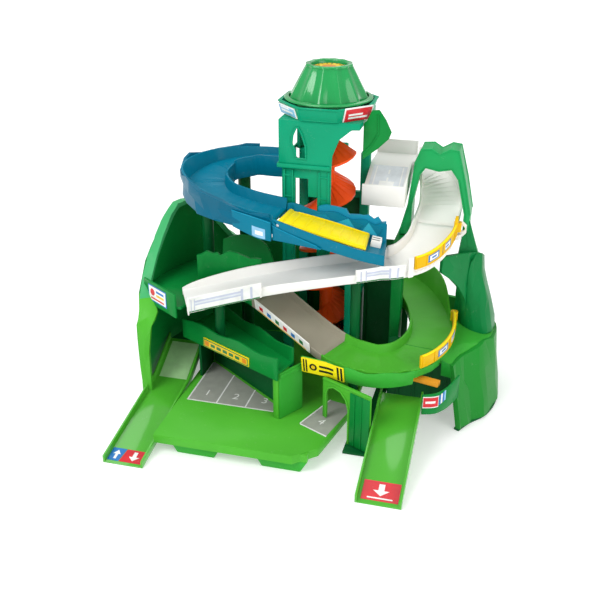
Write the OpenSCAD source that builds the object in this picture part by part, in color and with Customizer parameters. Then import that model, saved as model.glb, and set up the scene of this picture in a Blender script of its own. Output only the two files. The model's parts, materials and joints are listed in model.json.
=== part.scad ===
// Toy mountain road track: a spiral lift in a tower feeds roads that wind down a hollow hill.
// The origin is on the lift's axis at floor level. Front is -Y, up is +Z, millimetres.

/* [Road] */
// Clear width between the kerbs
road_in = 46; // [40:1:54]
// Thickness of a kerb wall
kerb_t = 2.4; // [1.8:0.2:3]
// Thickness of a road floor
floor_t = 2.6; // [2:0.2:3.4]
// Depth of the skirt below the road
skirt = 7; // [5:1:9]

/* [Base] */
// Top of the parking deck above the floor
deck_h = 25; // [22:1:28]
// Height of the deck's edge
deck_edge = 11; // [8:1:14]
// Wall of the moulded shells
shell_t = 3; // [2.4:0.2:4]
// Underside of the garage roof
roof_z = 88; // [80:1:94]
// Width of the two floor ramps
ramp_w = 49; // [42:1:54]

/* [Lift] */
// Radius of the spiral
spiral_r = 35; // [29:1:42]
// Rise of the spiral in one turn
spiral_pitch = 52; // [44:1:62]
// Thickness of the spiral's blade
blade_t = 3; // [2.4:0.2:4]
// Diameter of the lift shaft
shaft_d = 12; // [10:1:14.4]
// Half width of the tower over its posts
tower_half = 45; // [43:1:54]
// Width of a tower post
post_w = 11; // [9:1:13]

/* [Cap] */
// Radius of the fluted cap at its foot
cap_r = 50; // [42:1:51]
// Radius of the fluted cap at its top
cap_top_r = 27; // [22:1:33]
// Height of the fluted cap
cap_h = 42; // [35:1:50]
// Number of finger flutes
flutes = 12; // [10:1:14]

/* [Moving pieces] */
// Diameter of the hinge pins
pin_d = 4; // [3.4:0.2:4.8]
// Height of the yellow guards
guard_h = 17; // [14:1:20]
// Thickness of the yellow guards
guard_t = 3; // [2.4:0.2:3.6]
// Thickness of the bridge plate
bridge_t = 3; // [2.4:0.2:3.6]

/* [Hidden] */

leaf = "#52b434";
moss = "#148c3c";
pine = "#005a2d";
teal = "#10a078";
blue = "#006996";
sun = "#f0d21e";
bone = "#e1ded7";
rust = "#dc4614";
slate = "#96917f";
steel = "#b4b7ba";

// Shared clearances
gap = 0.3;
run_fit = 0.05;
steps = 6;
half = road_in / 2 + kerb_t;
pin_bore = pin_d + 2 * run_fit;
flare = 0.18;
frame_t = 3;
sign_t = 1.6;
kerb_min = 0.3;

// Places along each chain of roads, in the cars' direction: x, y, floor height, left kerb, right kerb
white_pts = [[98.4, 66, 281, 12, 8], [106, 65.2, 278, 12, 8], [127, 57, 262, 14, 8], [136.2, 36, 239, 10, 8],
    [134, 8, 222, 0.4, 8], [131, -28, 212, 0.4, 9], [117, -58, 203, 0.4, 11], [97, -74, 199, 0.4, 12],
    [80, -77, 196, 3, 12], [56, -80.8, 191, 4, 12], [30, -84, 186, 4, 12], [-20, -94, 177, 5, 12],
    [-70, -106, 167, 6, 12], [-120, -126, 158, 6, 8], [-140, -136, 155, 6, 2]];
green_pts = [[-127.8, -62, 144, 46, 8], [-102, -62.4, 143.4, 55, 8], [-78, -66, 142.4, 48, 8],
    [-60, -73, 141, 14, 5], [-12, -91.5, 119.5, 8, 3], [36, -110, 98, 9, 3], [64, -121, 95, 10, 2],
    [95, -123, 94, 10, 1],
    [126, -101, 94, 10, 0.4], [142, -60, 96, 10, 0.4], [139, -15, 101, 10, 0.4], [121, 27, 108, 10, 26],
    [92, 60, 116, 10, 28], [54, 80, 122, 10, 24]];
blue_loop_pts = [[-tower_half - 3.6, 10, 288, 12, 8], [-62, 10.4, 287, 12, 8], [-92, 18, 283, 12, 9],
    [-132, 8, 275, 12, 15], [-147, -28, 266, 12, 21], [-126, -60, 259, 12, 20], [-85, -76, 254, 12, 12],
    [-38, -80, 249, 12, 9]];
blue_run_pts = [[-37.5, -80, 243, 12, 11], [20, -84, 234, 15, 4.4], [62, -83, 224, 18, 3.2],
    [88, -80, 219, 20, 3]];
// Places in a chain where one moulding ends and the next starts
curve_start = 4;
run_start = 8;
ramp_start = 3;
loop_start = 5;

function bend(a, b, c, d, t) =
    0.5 * (2 * b + (c - a) * t + (2 * a - 5 * b + 4 * c - d) * t * t + (3 * b - a - 3 * c + d) * t * t * t);
function spline(p, n = steps) =
    let (m = len(p) - 1)
    concat([for (i = [0:m - 1]) for (k = [0:n - 1])
        bend(p[max(i - 1, 0)], p[i], p[i + 1], p[min(i + 2, m)], k / n)], [p[m]]);
// Unit vector to the left of travel
function left_of(q, i) =
    let (d = q[min(i + 1, len(q) - 1)] - q[max(i - 1, 0)], l = norm([d[0], d[1]])) [-d[1] / l, d[0] / l];
// Point beside the path: o to the left, h above the floor
function beside(q, i, o, h) =
    let (s = left_of(q, i)) [q[i][0] + s[0] * o, q[i][1] + s[1] * o, q[i][2] + h];
function road_ring(q, i, w, sk, wl, wr) = [
    beside(q, i, w, -sk), beside(q, i, w + flare * wl, wl), beside(q, i, w - kerb_t + flare * wl, wl),
    beside(q, i, w - kerb_t, 0), beside(q, i, kerb_t - w, 0), beside(q, i, kerb_t - w - flare * wr, wr),
    beside(q, i, -w - flare * wr, wr), beside(q, i, -w, -sk), beside(q, i, kerb_t - w, -sk),
    beside(q, i, kerb_t - w, -floor_t), beside(q, i, w - kerb_t, -floor_t), beside(q, i, w - kerb_t, -sk)];
ROAD_CAPS = [[0, 1, 2, 3, 10, 11], [3, 4, 9, 10], [7, 8, 9, 4, 5, 6]];
QUAD_CAP = [[0, 1, 2, 3]];
white_path = spline(white_pts);
green_path = spline(green_pts);
loop_path = spline(blue_loop_pts);
run_path = spline(blue_run_pts);

// Closed skin over a row of equal rings, each listed clockwise along the travel
module skin(rings, caps) {
    m = len(rings[0]);
    n = len(rings);
    walls = [for (i = [0:n - 2]) for (j = [0:m - 1]) let (a = i * m, b = a + m, k = (j + 1) % m)
        each [[a + j, b + j, b + k], [a + j, b + k, a + k]]];
    ends = [for (c = caps) each [c, [for (j = [len(c):-1:1]) c[j % len(c)] + (n - 1) * m]]];
    polyhedron([for (r = rings) each r], concat(walls, ends), convexity = 10);
}

// Road with kerbs and a skirt between two places of a chain; wave is the swing of the left kerb's top
module road(q, first, last, sk = skirt, wave = 0, turn = 70) {
    skin([for (i = [first:last]) road_ring(q, i, half, sk, max(q[i][3] + wave * sin(turn * i), kerb_min),
        max(q[i][4], kerb_min))], ROAD_CAPS);
}

// Wall that follows a road's edge, from o_left to o_right, low to high above its floor
module edge_wall(q, first, last, o_left, o_right, low, high, wave = 0, turn = 70, lean = 0) {
    skin([for (i = [first:last]) let (h = high + wave * sin(turn * i)) [
        beside(q, i, o_left, low), beside(q, i, o_left - lean, h),
        beside(q, i, o_right - lean, h), beside(q, i, o_right, low)]], QUAD_CAP);
}

// Free wall along x, y, foot, top, lean to the left
module hill_wall(pts, t, n = steps, low = 0) {
    q = spline(pts, n);
    skin([for (i = [0:len(q) - 1]) let (s = left_of(q, i), p = q[i], f = function (o, z)
        [p[0] + s[0] * o, p[1] + s[1] * o, z])
        [f(t / 2, max(p[2], low)), f(t / 2 + p[4], p[3]), f(p[4] - t / 2, p[3]), f(-t / 2, max(p[2], low))]],
        QUAD_CAP);
}

// Upright panel from a flat outline in x and z, its front face at y
module panel(outline, y, t) {
    translate([0, y + t, 0]) rotate([90, 0, 0]) linear_extrude(t) polygon(outline);
}

// Trough that climbs along +y: outline points are y and z of the road surface
module ramp(line, x, w, t, rim_t, rim_h) {
    n = len(line) - 1;
    under = [for (i = [n:-1:0]) [line[i][0], max(line[i][1] - t, 0)]];
    rim = [for (i = [n:-1:0]) [line[i][0], line[i][1] + rim_h]];
    translate([x, 0, 0]) rotate([90, 0, 90]) {
        linear_extrude(w) polygon(concat(line, under));
        for (s = [0, w - rim_t]) translate([0, 0, s]) linear_extrude(rim_t)
            polygon(concat([for (p = line) [p[0], max(p[1] - t, 0)]], rim));
    }
}

// Deck and garage
deck_outline = [[-148, -234], [18, -234], [43, -211], [62, -120], [62, 56], [-48, 56], [-94, 47],
    [-128, 27], [-148, 6]];
deck_z = deck_h - deck_edge;
deck_rim = 3;
foot_places = [[-100, -214], [3, -214], [-88, 14], [0, 0]];
foot_w = 62;
foot_d = 26;
module base_deck() {
    color(leaf) {
        translate([0, 0, deck_h - deck_rim]) linear_extrude(deck_rim) polygon(deck_outline);
        difference() {
            translate([0, 0, deck_z]) linear_extrude(deck_edge) polygon(deck_outline);
            translate([-43, -84, deck_z - 1]) linear_extrude(deck_edge)
                scale(0.96) translate([43, 84]) polygon(deck_outline);
        }
        for (p = foot_places) translate([p[0] - foot_w / 2, p[1] - foot_d / 2, deck_z])
            cube([foot_w, foot_d, deck_edge - 1]);
        translate([0, 0, deck_z]) cylinder(r = shaft_d / 2 + 8, h = deck_edge, $fn = 48);
    }
}
module deck_feet() {
    color(leaf) for (p = foot_places) translate([p[0], p[1] + foot_d / 2, 0]) rotate([90, 0, 0])
        linear_extrude(foot_d)
        polygon([[-foot_w / 2 + 8, 0], [foot_w / 2 - 8, 0], [foot_w / 2, deck_z], [-foot_w / 2, deck_z]]);
}
eave = [[-161, -96], [-16, -170]];
ridge = [[-140, -42], [-6, -140]];
eave_drop = 8;
parapet_h = 17;
parapet_t = 2.6;
waves = 5;
wave_h = 4;
wall_top = roof_z - deck_h;
module rest_back_wall() {
    color(pine) translate([0, 0, deck_h]) linear_extrude(wall_top)
        polygon([[-138, -53], [-12, -145], [-10, -142], [-136, -50]]);
}
module rest_side_wall() {
    color(pine) translate([-142, -96, deck_h]) cube([shell_t, 43, wall_top]);
}
module rest_divider() {
    color(leaf) translate([0, 0, deck_h]) linear_extrude(wall_top)
        polygon([[-24, -163.5], [-17, -167], [-9, -147], [-14, -147]]);
}
module rest_roof() {
    color(moss) {
        translate([0, 0, roof_z]) linear_extrude(shell_t) polygon(concat(eave, [ridge[1], ridge[0]]));
        for (e = [[eave, eave_drop], [ridge, 0]]) hill_wall([for (k = [0:waves])
            let (p = e[0][0] + (e[0][1] - e[0][0]) * k / waves)
            [p[0], p[1], roof_z - e[1], roof_z + parapet_h + (k % 2) * wave_h, 0]], parapet_t, 3);
    }
}
eave_dir = atan2(eave[1][1] - eave[0][1], eave[1][0] - eave[0][0]);
module rest_sign() {
    color(sun) translate([eave[0][0], eave[0][1], roof_z - eave_drop + 2]) rotate(eave_dir)
        translate([40, -parapet_t / 2 - gap / 2 - sign_t, 0]) cube([78, sign_t, 12]);
}

// Ramps down to the floor
ramp_rim = 2.4;
entry_x = -197.5;
feed_z = 54;
entry_line = [[-267, 1], [-115, deck_h], [-59, feed_z]];
module entry_ramp() {
    color(leaf) ramp(entry_line, entry_x, ramp_w, 3, ramp_rim, 8);
}
module lift_feed() {
    color(pine) {
        translate([0, 0, feed_z - 3]) linear_extrude(3) polygon([[entry_x + 3, -58.6], [-184, -26],
            [-168, -6], [-tower_half - gap, -6], [-tower_half - gap, -46], [-146, -46], [-146, -58.6]]);
        translate([-146, -46, feed_z - 3]) cube([146 - tower_half - gap, kerb_t, 11]);
    }
}
exit_x = 96;
exit_line = [[-263, 1], [-118, 52]];
module exit_ramp() {
    color(leaf) ramp(exit_line, exit_x, ramp_w + 2, 3, ramp_rim, 9);
}

// Hill shells
module left_mountain() {
    color(moss) hill_wall([[-199.8, -138, 0, 112, 0], [-204, -104, 0, 160, 0], [-202, -62, 0, 200, 0],
        [-190, -24, 0, 232, 0], [-166, 8, 0, 214, 0], [-136, 34, 0, 168, 0], [-98, 54, 0, 162, 0],
        [-50, 62, 0, 160, 0]], shell_t);
}
landing_z = 147;
landing_outline = [[-201.6, -108], [-146, -146], [-140.8, -146], [-128.4, -96], [-128.4, -20],
    [-151, 18], [-170, -1], [-189, -29], [-199.6, -62], [-202, -90]];
module landing() {
    color(moss) translate([0, 0, landing_z - shell_t]) linear_extrude(shell_t) polygon(landing_outline);
}
sill_drop = 14;
sill_h = 17;
module landing_sill() {
    color(moss) hill_wall([[-201.5, -111.3, landing_z - sill_drop, landing_z + sill_h, 0],
        [-174, -129.6, landing_z - sill_drop, landing_z + sill_h, 0],
        [-146.5, -148, landing_z - sill_drop, landing_z + sill_h, 0]], 2.4, 2);
}
module inner_wall() {
    foot = landing_z + gap;
    color(moss) hill_wall([for (p = [[-141, -62.6, 189], [-126, -57.6, 197], [-113, -55.8, 194],
        [-98, -54.6, 200], [-82, -52, 193], [-64, -47.2, 188]]) [p[0], p[1] - half, foot, p[2], 0]],
        parapet_t, 4);
}
module mid_road() {
    color(moss) road(green_path, 0, ramp_start * steps);
}
module grey_ramp() {
    color(slate) road(green_path, ramp_start * steps, loop_start * steps);
}
module ramp_rail() {
    o = -half - gap;
    color(bone) edge_wall(green_path, ramp_start * steps + 1, loop_start * steps - 2, o, o - sign_t, -5, 9,
        lean = flare * 14);
}
guard_first = loop_start * steps + 17;
guard_last = loop_start * steps + 30;
module loop_road() {
    p = beside(green_path, guard_last, -half - guard_t, 0);
    color(leaf) difference() {
        union() {
            road(green_path, loop_start * steps, len(green_path) - 1);
            translate([p[0], p[1], p[2] - 6]) cylinder(r = 5.4, h = 5, $fn = 48);
            translate([lever_at[0], lever_at[1], lever_z + 8]) cylinder(r = 5, h = 11, $fn = 48);
        }
        translate([p[0], p[1], p[2] - 30]) cylinder(d = pin_d, h = 60, $fn = 48);
        translate([lever_at[0], lever_at[1], lever_z]) cylinder(d = pin_d, h = 14, $fn = 48);
    }
}
apron_t = 2.4;
apron_low = -17;
apron_free = [5, -137, 97];
apron_join = loop_start * steps + 3;
function apron_ring(i, o, t, low, high) = [beside(green_path, i, -o, low),
    beside(green_path, i, -o - flare * (high - apron_low), high),
    beside(green_path, i, -o - t - flare * (high - apron_low), high), beside(green_path, i, -o - t, low)];
// Ring at the apron's free end, square to the line from there to the join
function free_ring(o, t, low, high) = let (b = beside(green_path, apron_join, -half - gap, 0) - apron_free,
    l = norm([b[0], b[1]]), s = [-b[1] / l, b[0] / l], f = function (d, h)
        [apron_free[0] + s[0] * d, apron_free[1] + s[1] * d, apron_free[2] + h])
    [f(-o, low), f(-o - flare * (high - apron_low), high), f(-o - t - flare * (high - apron_low), high),
    f(-o - t, low)];
module apron() {
    color(leaf) skin(concat([free_ring(0, apron_t, apron_low, 4)], [for (i = [apron_join:guard_first - 1])
        apron_ring(i, half + gap, apron_t, apron_low, 3 + 1.6 * sin(70 * i))]), QUAD_CAP);
}
module hazard_panel() {
    o = apron_t + gap;
    color(sun) hull() {
        for (k = [0.06, 0.94]) let (a = free_ring(o, sign_t, apron_low, 4),
            b = apron_ring(apron_join, half + gap + o, sign_t, apron_low, 4))
            skin([a + (b - a) * k, a + (b - a) * (k + 0.005)], QUAD_CAP);
    }
}
arch_top = 79;
arch_at = [32, -147];
arch_turn = -26;
arch_len = 68.9;
arch_post = 5;
arch_leg = 30;
// Arch from a post on the deck to a leg on the floor, with a round-topped hole for the fingers
module handle_arch() {
    r = arch_len - arch_leg;
    color(leaf) translate([arch_at[0], arch_at[1], 0]) rotate(arch_turn)
        panel([[0, deck_h], [arch_post, deck_h], [arch_post, 60], [arch_post + 3, 68], [arch_post + 11, 72],
            [r - 12, 70], [r - 4, 62], [r, 50], [r, frame_t], [arch_len, frame_t], [arch_len, arch_top],
            [0, arch_top]], 0, 4);
}
module garage_fascia() {
    color(moss) hill_wall([[exit_x + ramp_w + 2.9, -141, 44, 70, 0], [163, -137, 45, 72, 0],
        [175, -124, 47, 75, 0], [185, -100, 49, 79, 0]], kerb_t, 3);
}
rock_pts = [[187, -98, frame_t, 84, 16], [198, -78, frame_t, 88, 20], [217, -52, frame_t, 92, 20],
    [226, -14, frame_t, 92, 12], [222, 30, frame_t, 86, 8], [200, 74, frame_t, 84, 6],
    [160, 104, frame_t, 84, 6], [104, 116, frame_t, 84, 4]];
leg_pts = [[148, -40, 180, 201, 0], [166, -22, 158, 199, 0], [184, 8, frame_t, 192, -4],
    [188, 34, frame_t, 178, 0], [181, 64, frame_t, 166, 0]];
module right_rock() {
    color(leaf) hill_wall(rock_pts, shell_t);
}
module right_leg() {
    color(pine) hill_wall(leg_pts, shell_t, low = frame_t);
}
// Flat frame on the floor that the right half's shells, columns and piers stand on
module floor_frame() {
    color(pine) {
        hill_wall([for (p = rock_pts) [p[0], p[1], 0, frame_t, 0]], 7);
        translate([63, -10, 0]) cube([160, 22, frame_t]);
        translate([166, 0, 0]) cube([24, 84, frame_t]);
        translate([64, -180, 0]) cube([exit_x - 64 - gap, 34, frame_t]);
        translate([76, -160, 0]) cube([14, 182, frame_t]);
        translate([76, 0, 0]) cube([24, 110, frame_t]);
    }
}
column_x = 88;
column_y = -24;
column_w = 12;
column_d = 26;
arch_foot = 206;
module inner_column() {
    color(moss) {
        translate([column_x, column_y, frame_t]) cube([column_w, column_d, arch_foot - frame_t]);
        translate([column_x, column_y, arch_foot - 16]) cube([column_w, column_d + 28, 16]);
    }
}

// Wall inside the loop that closes the view behind the lift
core_pts = [[50, 23, deck_h, 184, 0], [66, 26, deck_h, 188, 0], [86, 28, deck_h, 188, 0]];
module core_wall() {
    color(pine) hill_wall(core_pts, shell_t);
}

// White road
module white_run() {
    color(bone) road(white_path, run_start * steps, len(white_path) - 1);
}
upper_first = curve_start * steps + 2;
upper_last = curve_start * steps + 15;
module white_curve() {
    p = beside(white_path, upper_first, half + guard_t, 0);
    color(bone) difference() {
        union() {
            road(white_path, curve_start * steps, run_start * steps);
            translate([p[0], p[1], p[2] - 7]) cylinder(r = 5.4, h = 6, $fn = 48);
        }
        translate([p[0], p[1], p[2] - 30]) cylinder(d = pin_d, h = 60, $fn = 48);
    }
}
module tunnel_road() {
    color(bone) road(white_path, 0, curve_start * steps);
}
arch_y = 2;
arch_d = 32;
module tunnel_arch() {
    color(moss) difference() {
        translate([0, arch_y + arch_d, 0]) rotate([90, 0, 0]) linear_extrude(arch_d)
            polygon([[90, arch_foot], [100, arch_foot + 40], [106, 300], [112, 316], [124, 317], [134, 311],
                [146, 318], [156, 317], [166, 280], [175, 240], [174, arch_foot + 8]]);
        translate([0, arch_y + arch_d + 1, 0]) rotate([90, 0, 0]) linear_extrude(arch_d + 2)
            polygon([[104, 190], [104, 246], [111, 284], [118, 294], [134, 291], [149, 294], [158, 282],
                [168, 240], [168, 190]]);
    }
}
tray_z = 284;
tray_x = tower_half + gap;
tray_y = -12;
tray_w = 52.4;
tray_d = 99;
tray_deep = 16;
tray_rim = 18;
// Where the level part ends, and how far the front part falls
tray_bend = 46;
tray_fall = 22;
// Side outline between two heights over the tray's floor, from y = front to y = back
function tray_side(front, back, low, high) = [[front, tray_z - tray_fall + low], [tray_bend, tray_z + low],
    [back, tray_z + low], [back, tray_z + high], [tray_bend, tray_z + high],
    [front, tray_z - tray_fall + high]];
module tray_prism(x, w, outline) {
    translate([x, 0, 0]) rotate([90, 0, 90]) linear_extrude(w) polygon(outline);
}
module summit_tray() {
    back = tray_y + tray_d;
    front_in = tray_y + kerb_t;
    back_in = back - kerb_t;
    color(bone) difference() {
        tray_prism(tray_x, tray_w, tray_side(tray_y, back, -tray_deep, tray_rim));
        tray_prism(tray_x - 1, tray_w + 1 - kerb_t, tray_side(front_in, back_in, 0, 60));
        tray_prism(tray_x + kerb_t, tray_w - 2 * kerb_t, tray_side(front_in, back_in, -60, -floor_t));
        translate([tray_x + 40, 38, tray_z]) cube([tray_w, 46, 40]);
        tray_prism(tray_x - 1, tray_w + 2, [[tray_y - 1, tray_z - tray_fall + 9], [tray_bend, tray_z + 9],
            [tray_bend, tray_z + 60], [tray_y - 1, tray_z + 60]]);
    }
}
rail_t = 1.8;
// Upright panel on the white road's front kerb, between two places counted from the run's start
module rail_panel(first, last, low, high) {
    o = half + gap;
    start = run_start * steps;
    edge_wall(white_path, start + first, start + last, o + rail_t, o, low, high,
        lean = -flare * (high - low));
}
module rail_panel_right() {
    color(bone) rail_panel(-7, 6, -6, 12);
}
module rail_panel_left() {
    color(bone) rail_panel(22, 30, -7, 14);
}

// Blue road
module blue_loop() {
    color(blue) road(loop_path, 0, len(loop_path) - 1, sk = 14);
}
pivot_i = 1;
pivot_h = 4.4;
// Place on the bridge's pin, o to the left of the road's middle
function bridge_axis(o) = beside(run_path, pivot_i, o, pivot_h);
module blue_run() {
    color(blue) difference() {
        road(run_path, 0, len(run_path) - 1, sk = 10, wave = 2);
        pin_bar(bridge_axis(half + 4), bridge_axis(-half - 4), pin_d);
    }
}
module blue_rocks() {
    o = half + gap + 0.7;
    color(blue) edge_wall(run_path, 4, 17, o + 6, o, -6, 24, wave = 5, turn = 100, lean = -flare * 30);
}
module pin_bar(a, b, d) {
    v = b - a;
    l = norm(v);
    translate(a) rotate([0, acos(v[2] / l), atan2(v[1], v[0])]) cylinder(d = d, h = l, $fn = 48);
}
bridge_half = road_in / 2 - 1.2;
bridge_lift = 3.2;
bridge_last = 13;
module bridge() {
    color(sun) difference() {
        union() {
            edge_wall(run_path, pivot_i, bridge_last, bridge_half, -bridge_half, bridge_lift,
                bridge_lift + bridge_t);
            pin_bar(bridge_axis(bridge_half - 1), bridge_axis(1 - bridge_half), pin_d + 4);
        }
        pin_bar(bridge_axis(half), bridge_axis(-half), pin_bore);
    }
}
module bridge_pin() {
    color(steel) pin_bar(bridge_axis(half + 0.6), bridge_axis(-half - 0.6), pin_d);
}

// Tower and lift
frame_top = 296;
// Top of the right front post, which leaves the lift's exit open
short_post = 210;
house_top = 354;
bush_t = 6;
bush_r = shaft_d / 2 + 5;
module tower_frame() {
    t = tower_half;
    color(teal) {
        for (x = [-t, t - post_w]) for (y = [-t, t - post_w]) let (short = x > 0 && y < 0)
            translate([x, y, deck_h]) cube([post_w, post_w, (short ? short_post : frame_top) - deck_h]);
        panel([[-t, 150], [-t, frame_top], [14, frame_top], [14, 150], [-2, 150], [-2, 262], [-13, 262],
            [-13, 284], [-29, 284], [-29, 150]], -t - 0.01, 4);
        for (z = [120, 236]) translate([-t, t - 6, z]) cube([2 * t, 6, 8]);
        for (x = [-t, t - 6]) translate([x, -t, 120]) cube([6, 2 * t, 8]);
        translate([-8, -t - 22, 218]) cube([16, 24, 8]);
    }
}
module tower_housing() {
    t = tower_half;
    color(teal) difference() {
        translate([-t - 3, -t - 3, frame_top]) cube([2 * t + 6, 2 * t + 6, house_top - frame_top]);
        translate([-t + 1, -t + 1, frame_top - 1]) cube([2 * t - 2, 2 * t - 2, house_top - frame_top - 5]);
        panel([[-27, frame_top + 13], [-15, frame_top + 13], [-15.5, frame_top + 28], [-20, frame_top + 42],
            [-24, frame_top + 50], [-27, frame_top + 49], [-31, frame_top + 40], [-32, frame_top + 30],
            [-28, frame_top + 22]], -t - 10, 20);
        panel([[15, frame_top - 1], [70, frame_top - 1], [70, house_top - 6], [38, house_top - 8],
            [24, house_top - 20], [16, house_top - 40]], -t - 10, 200);
        panel([[-70, frame_top - 1], [-44, frame_top - 1], [-44, house_top - 12], [-70, house_top - 12]],
            -t + 8, 70);
        panel([[-24, frame_top + 8], [24, frame_top + 8], [24, house_top - 14], [-24, house_top - 14]],
            20, 60);
        cylinder(d = 2 * bush_r, h = house_top + 5, $fn = 64);
    }
}
collar_h = 16;
module collar() {
    color(teal) difference() {
        translate([0, 0, house_top]) rotate(22.5) cylinder(r1 = 54, r2 = 60, h = collar_h, $fn = 8);
        translate([0, 0, house_top + 3]) rotate(22.5) cylinder(r1 = 51, r2 = 57, h = collar_h, $fn = 8);
        translate([0, 0, house_top - 1]) cylinder(d = 2 * bush_r, h = 10, $fn = 64);
    }
}
module collar_wing() {
    color(teal) panel([[tower_half + 3 + gap, 300], [tower_half + 7, 300], [78, 326], [79, 333], [54, 347],
        [tower_half + 3 + gap, 349]], -30, 3);
}
module lower_bush() {
    color(bone) translate([0, 0, deck_h]) difference() {
        cylinder(r = bush_r + 4, h = bush_t, $fn = 64);
        translate([0, 0, 2]) cylinder(d = shaft_d + 2 * run_fit, h = bush_t, $fn = 64);
    }
}
module upper_bush() {
    color(bone) translate([0, 0, house_top - 5]) difference() {
        cylinder(r = bush_r - 0.02, h = 12, $fn = 64);
        translate([0, 0, -1]) cylinder(d = shaft_d + 2 * run_fit, h = 20, $fn = 64);
    }
}
cap_z = house_top + 14;
shaft_foot = deck_h + 2.3;
shaft_top = cap_z + 8;
screw_d = 5;
module lift_shaft() {
    color(bone) difference() {
        translate([0, 0, shaft_foot]) cylinder(d = shaft_d, h = shaft_top - shaft_foot, $fn = 64);
        translate([0, 0, shaft_top - 14]) cylinder(d = screw_d, h = 20, $fn = 48);
    }
}
spiral_foot = deck_h + bush_t + 1;
spiral_turns = 5.25;
// Fall of the blade from the hub to its rim
blade_fall = 16;
hub_r = shaft_d / 2 + 2.6;
blade_n = 20;
module spiral() {
    top = spiral_foot + spiral_turns * spiral_pitch;
    color(rust) difference() {
        union() {
            translate([0, 0, spiral_foot])
                cylinder(r = hub_r, h = top - spiral_foot + blade_fall + 6, $fn = 64);
            skin([for (i = [0:spiral_turns * blade_n]) let (a = i * 360 / blade_n - 90,
                z = spiral_foot + i * spiral_pitch / blade_n, c = cos(a), s = sin(a), r = hub_r - 1)
                [[r * c, r * s, z + blade_fall], [r * c, r * s, z + blade_fall + blade_t],
                [spiral_r * c, spiral_r * s, z + blade_t], [spiral_r * c, spiral_r * s, z]]], QUAD_CAP);
        }
        translate([0, 0, spiral_foot - 1]) cylinder(d = shaft_d, h = top, $fn = 64);
    }
}
recess_r = cap_top_r - 5;
head_z = cap_z + cap_h - 9;
head_d = 9.6;
function flute(r) = [for (k = [0:flutes * 6 - 1]) let (a = k * 60 / flutes,
    q = r * (1 - 0.07 * pow(abs(sin(k * 30)), 1.5))) [q * cos(a), q * sin(a)]];
module cap() {
    color(moss) difference() {
        translate([0, 0, cap_z]) linear_extrude(cap_h, scale = cap_top_r / cap_r) polygon(flute(cap_r));
        translate([0, 0, cap_z + cap_h - 5]) cylinder(r = recess_r - 1, h = 10, $fn = 64);
        translate([0, 0, cap_z - 1]) cylinder(d = shaft_d, h = 9, $fn = 64);
        cylinder(d = screw_d + 0.4, h = cap_z + cap_h, $fn = 48);
        translate([0, 0, head_z]) cylinder(d = head_d + 1.4, h = 10, $fn = 48);
    }
}
module cap_disc() {
    color(sun) translate([0, 0, cap_z + cap_h - 5]) cylinder(r = recess_r - 1.4, h = 1.6, $fn = 64);
}
module cap_screw() {
    color(steel) {
        translate([0, 0, shaft_top - 12])
            cylinder(d = screw_d - 0.04, h = head_z - shaft_top + 12.5, $fn = 48);
        translate([0, 0, head_z]) cylinder(d = head_d, h = 3.2, $fn = 48);
    }
}

// Guards, lever and their pins
guard_ear = 4.6;
module guard(q, first, last, out, pin_i) {
    p = beside(q, pin_i, out * (half + guard_t), 0);
    o = out > 0 ? [half + gap + guard_t, half + gap] : [-half - gap, -half - gap - guard_t];
    difference() {
        union() {
            edge_wall(q, first, last, o[0], o[1], 1.6, guard_h);
            translate([p[0], p[1], p[2] + 2.4]) cylinder(r = guard_ear, h = guard_h - 5, $fn = 48);
        }
        translate([p[0], p[1], p[2] - 5]) cylinder(d = pin_bore, h = guard_h + 20, $fn = 48);
    }
}
module guard_pin(q, out, pin_i) {
    p = beside(q, pin_i, out * (half + guard_t), 0);
    translate([p[0], p[1], p[2] - 5]) cylinder(d = pin_d, h = guard_h + 2, $fn = 48);
}
module upper_guard() {
    color(sun) guard(white_path, upper_first, upper_last, 1, upper_first);
}
module upper_guard_pin() {
    color(steel) guard_pin(white_path, 1, upper_first);
}
module lower_guard() {
    color(sun) guard(green_path, guard_first, guard_last, -1, guard_last);
}
module lower_guard_pin() {
    color(steel) guard_pin(green_path, -1, guard_last);
}
lever_at = [122, -112];
lever_z = 74;
module release_lever() {
    color(rust) translate([lever_at[0], lever_at[1], lever_z]) difference() {
        union() {
            cylinder(r = 7, h = 7, $fn = 48);
            translate([-38, -5, 0]) cube([40, 7, 6]);
            rotate(-14) translate([0, -5, 0]) cube([44, 8, 6]);
        }
        translate([0, 0, -1]) cylinder(d = pin_bore, h = 20, $fn = 48);
    }
}
module lever_pin() {
    color(steel) translate([lever_at[0], lever_at[1], lever_z - 2]) {
        cylinder(d = pin_d, h = 14, $fn = 48);
        translate([0, 0, -0.6]) cylinder(d = 9, h = 2.2, $fn = 48);
    }
}

// Piers stand on the floor or the deck and end just under a road
module pier(x, y, foot, top, r = 6) {
    translate([x, y, foot]) cylinder(r = r, h = top - foot, $fn = 32);
}
module piers() {
    color(pine) {
        pier(54, -76, deck_h, 187);
        pier(-106, -111, roof_z + shell_t, 155);
        pier(-112, 14, deck_h, 273, 8);
        pier(-145, -36, landing_z, 257, 7);
        pier(137, 0, frame_t, 99.5, 8);
        pier(92, 60, frame_t, 111, 8);
    }
}
module tower_screws() {
    color(steel) for (x = [-1, 1]) for (y = [-1, 1])
        translate([x * (tower_half - post_w / 2), y * (tower_half - post_w / 2), house_top - 6 - 3])
            cylinder(d = 7, h = 3, $fn = 32);
}

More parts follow.
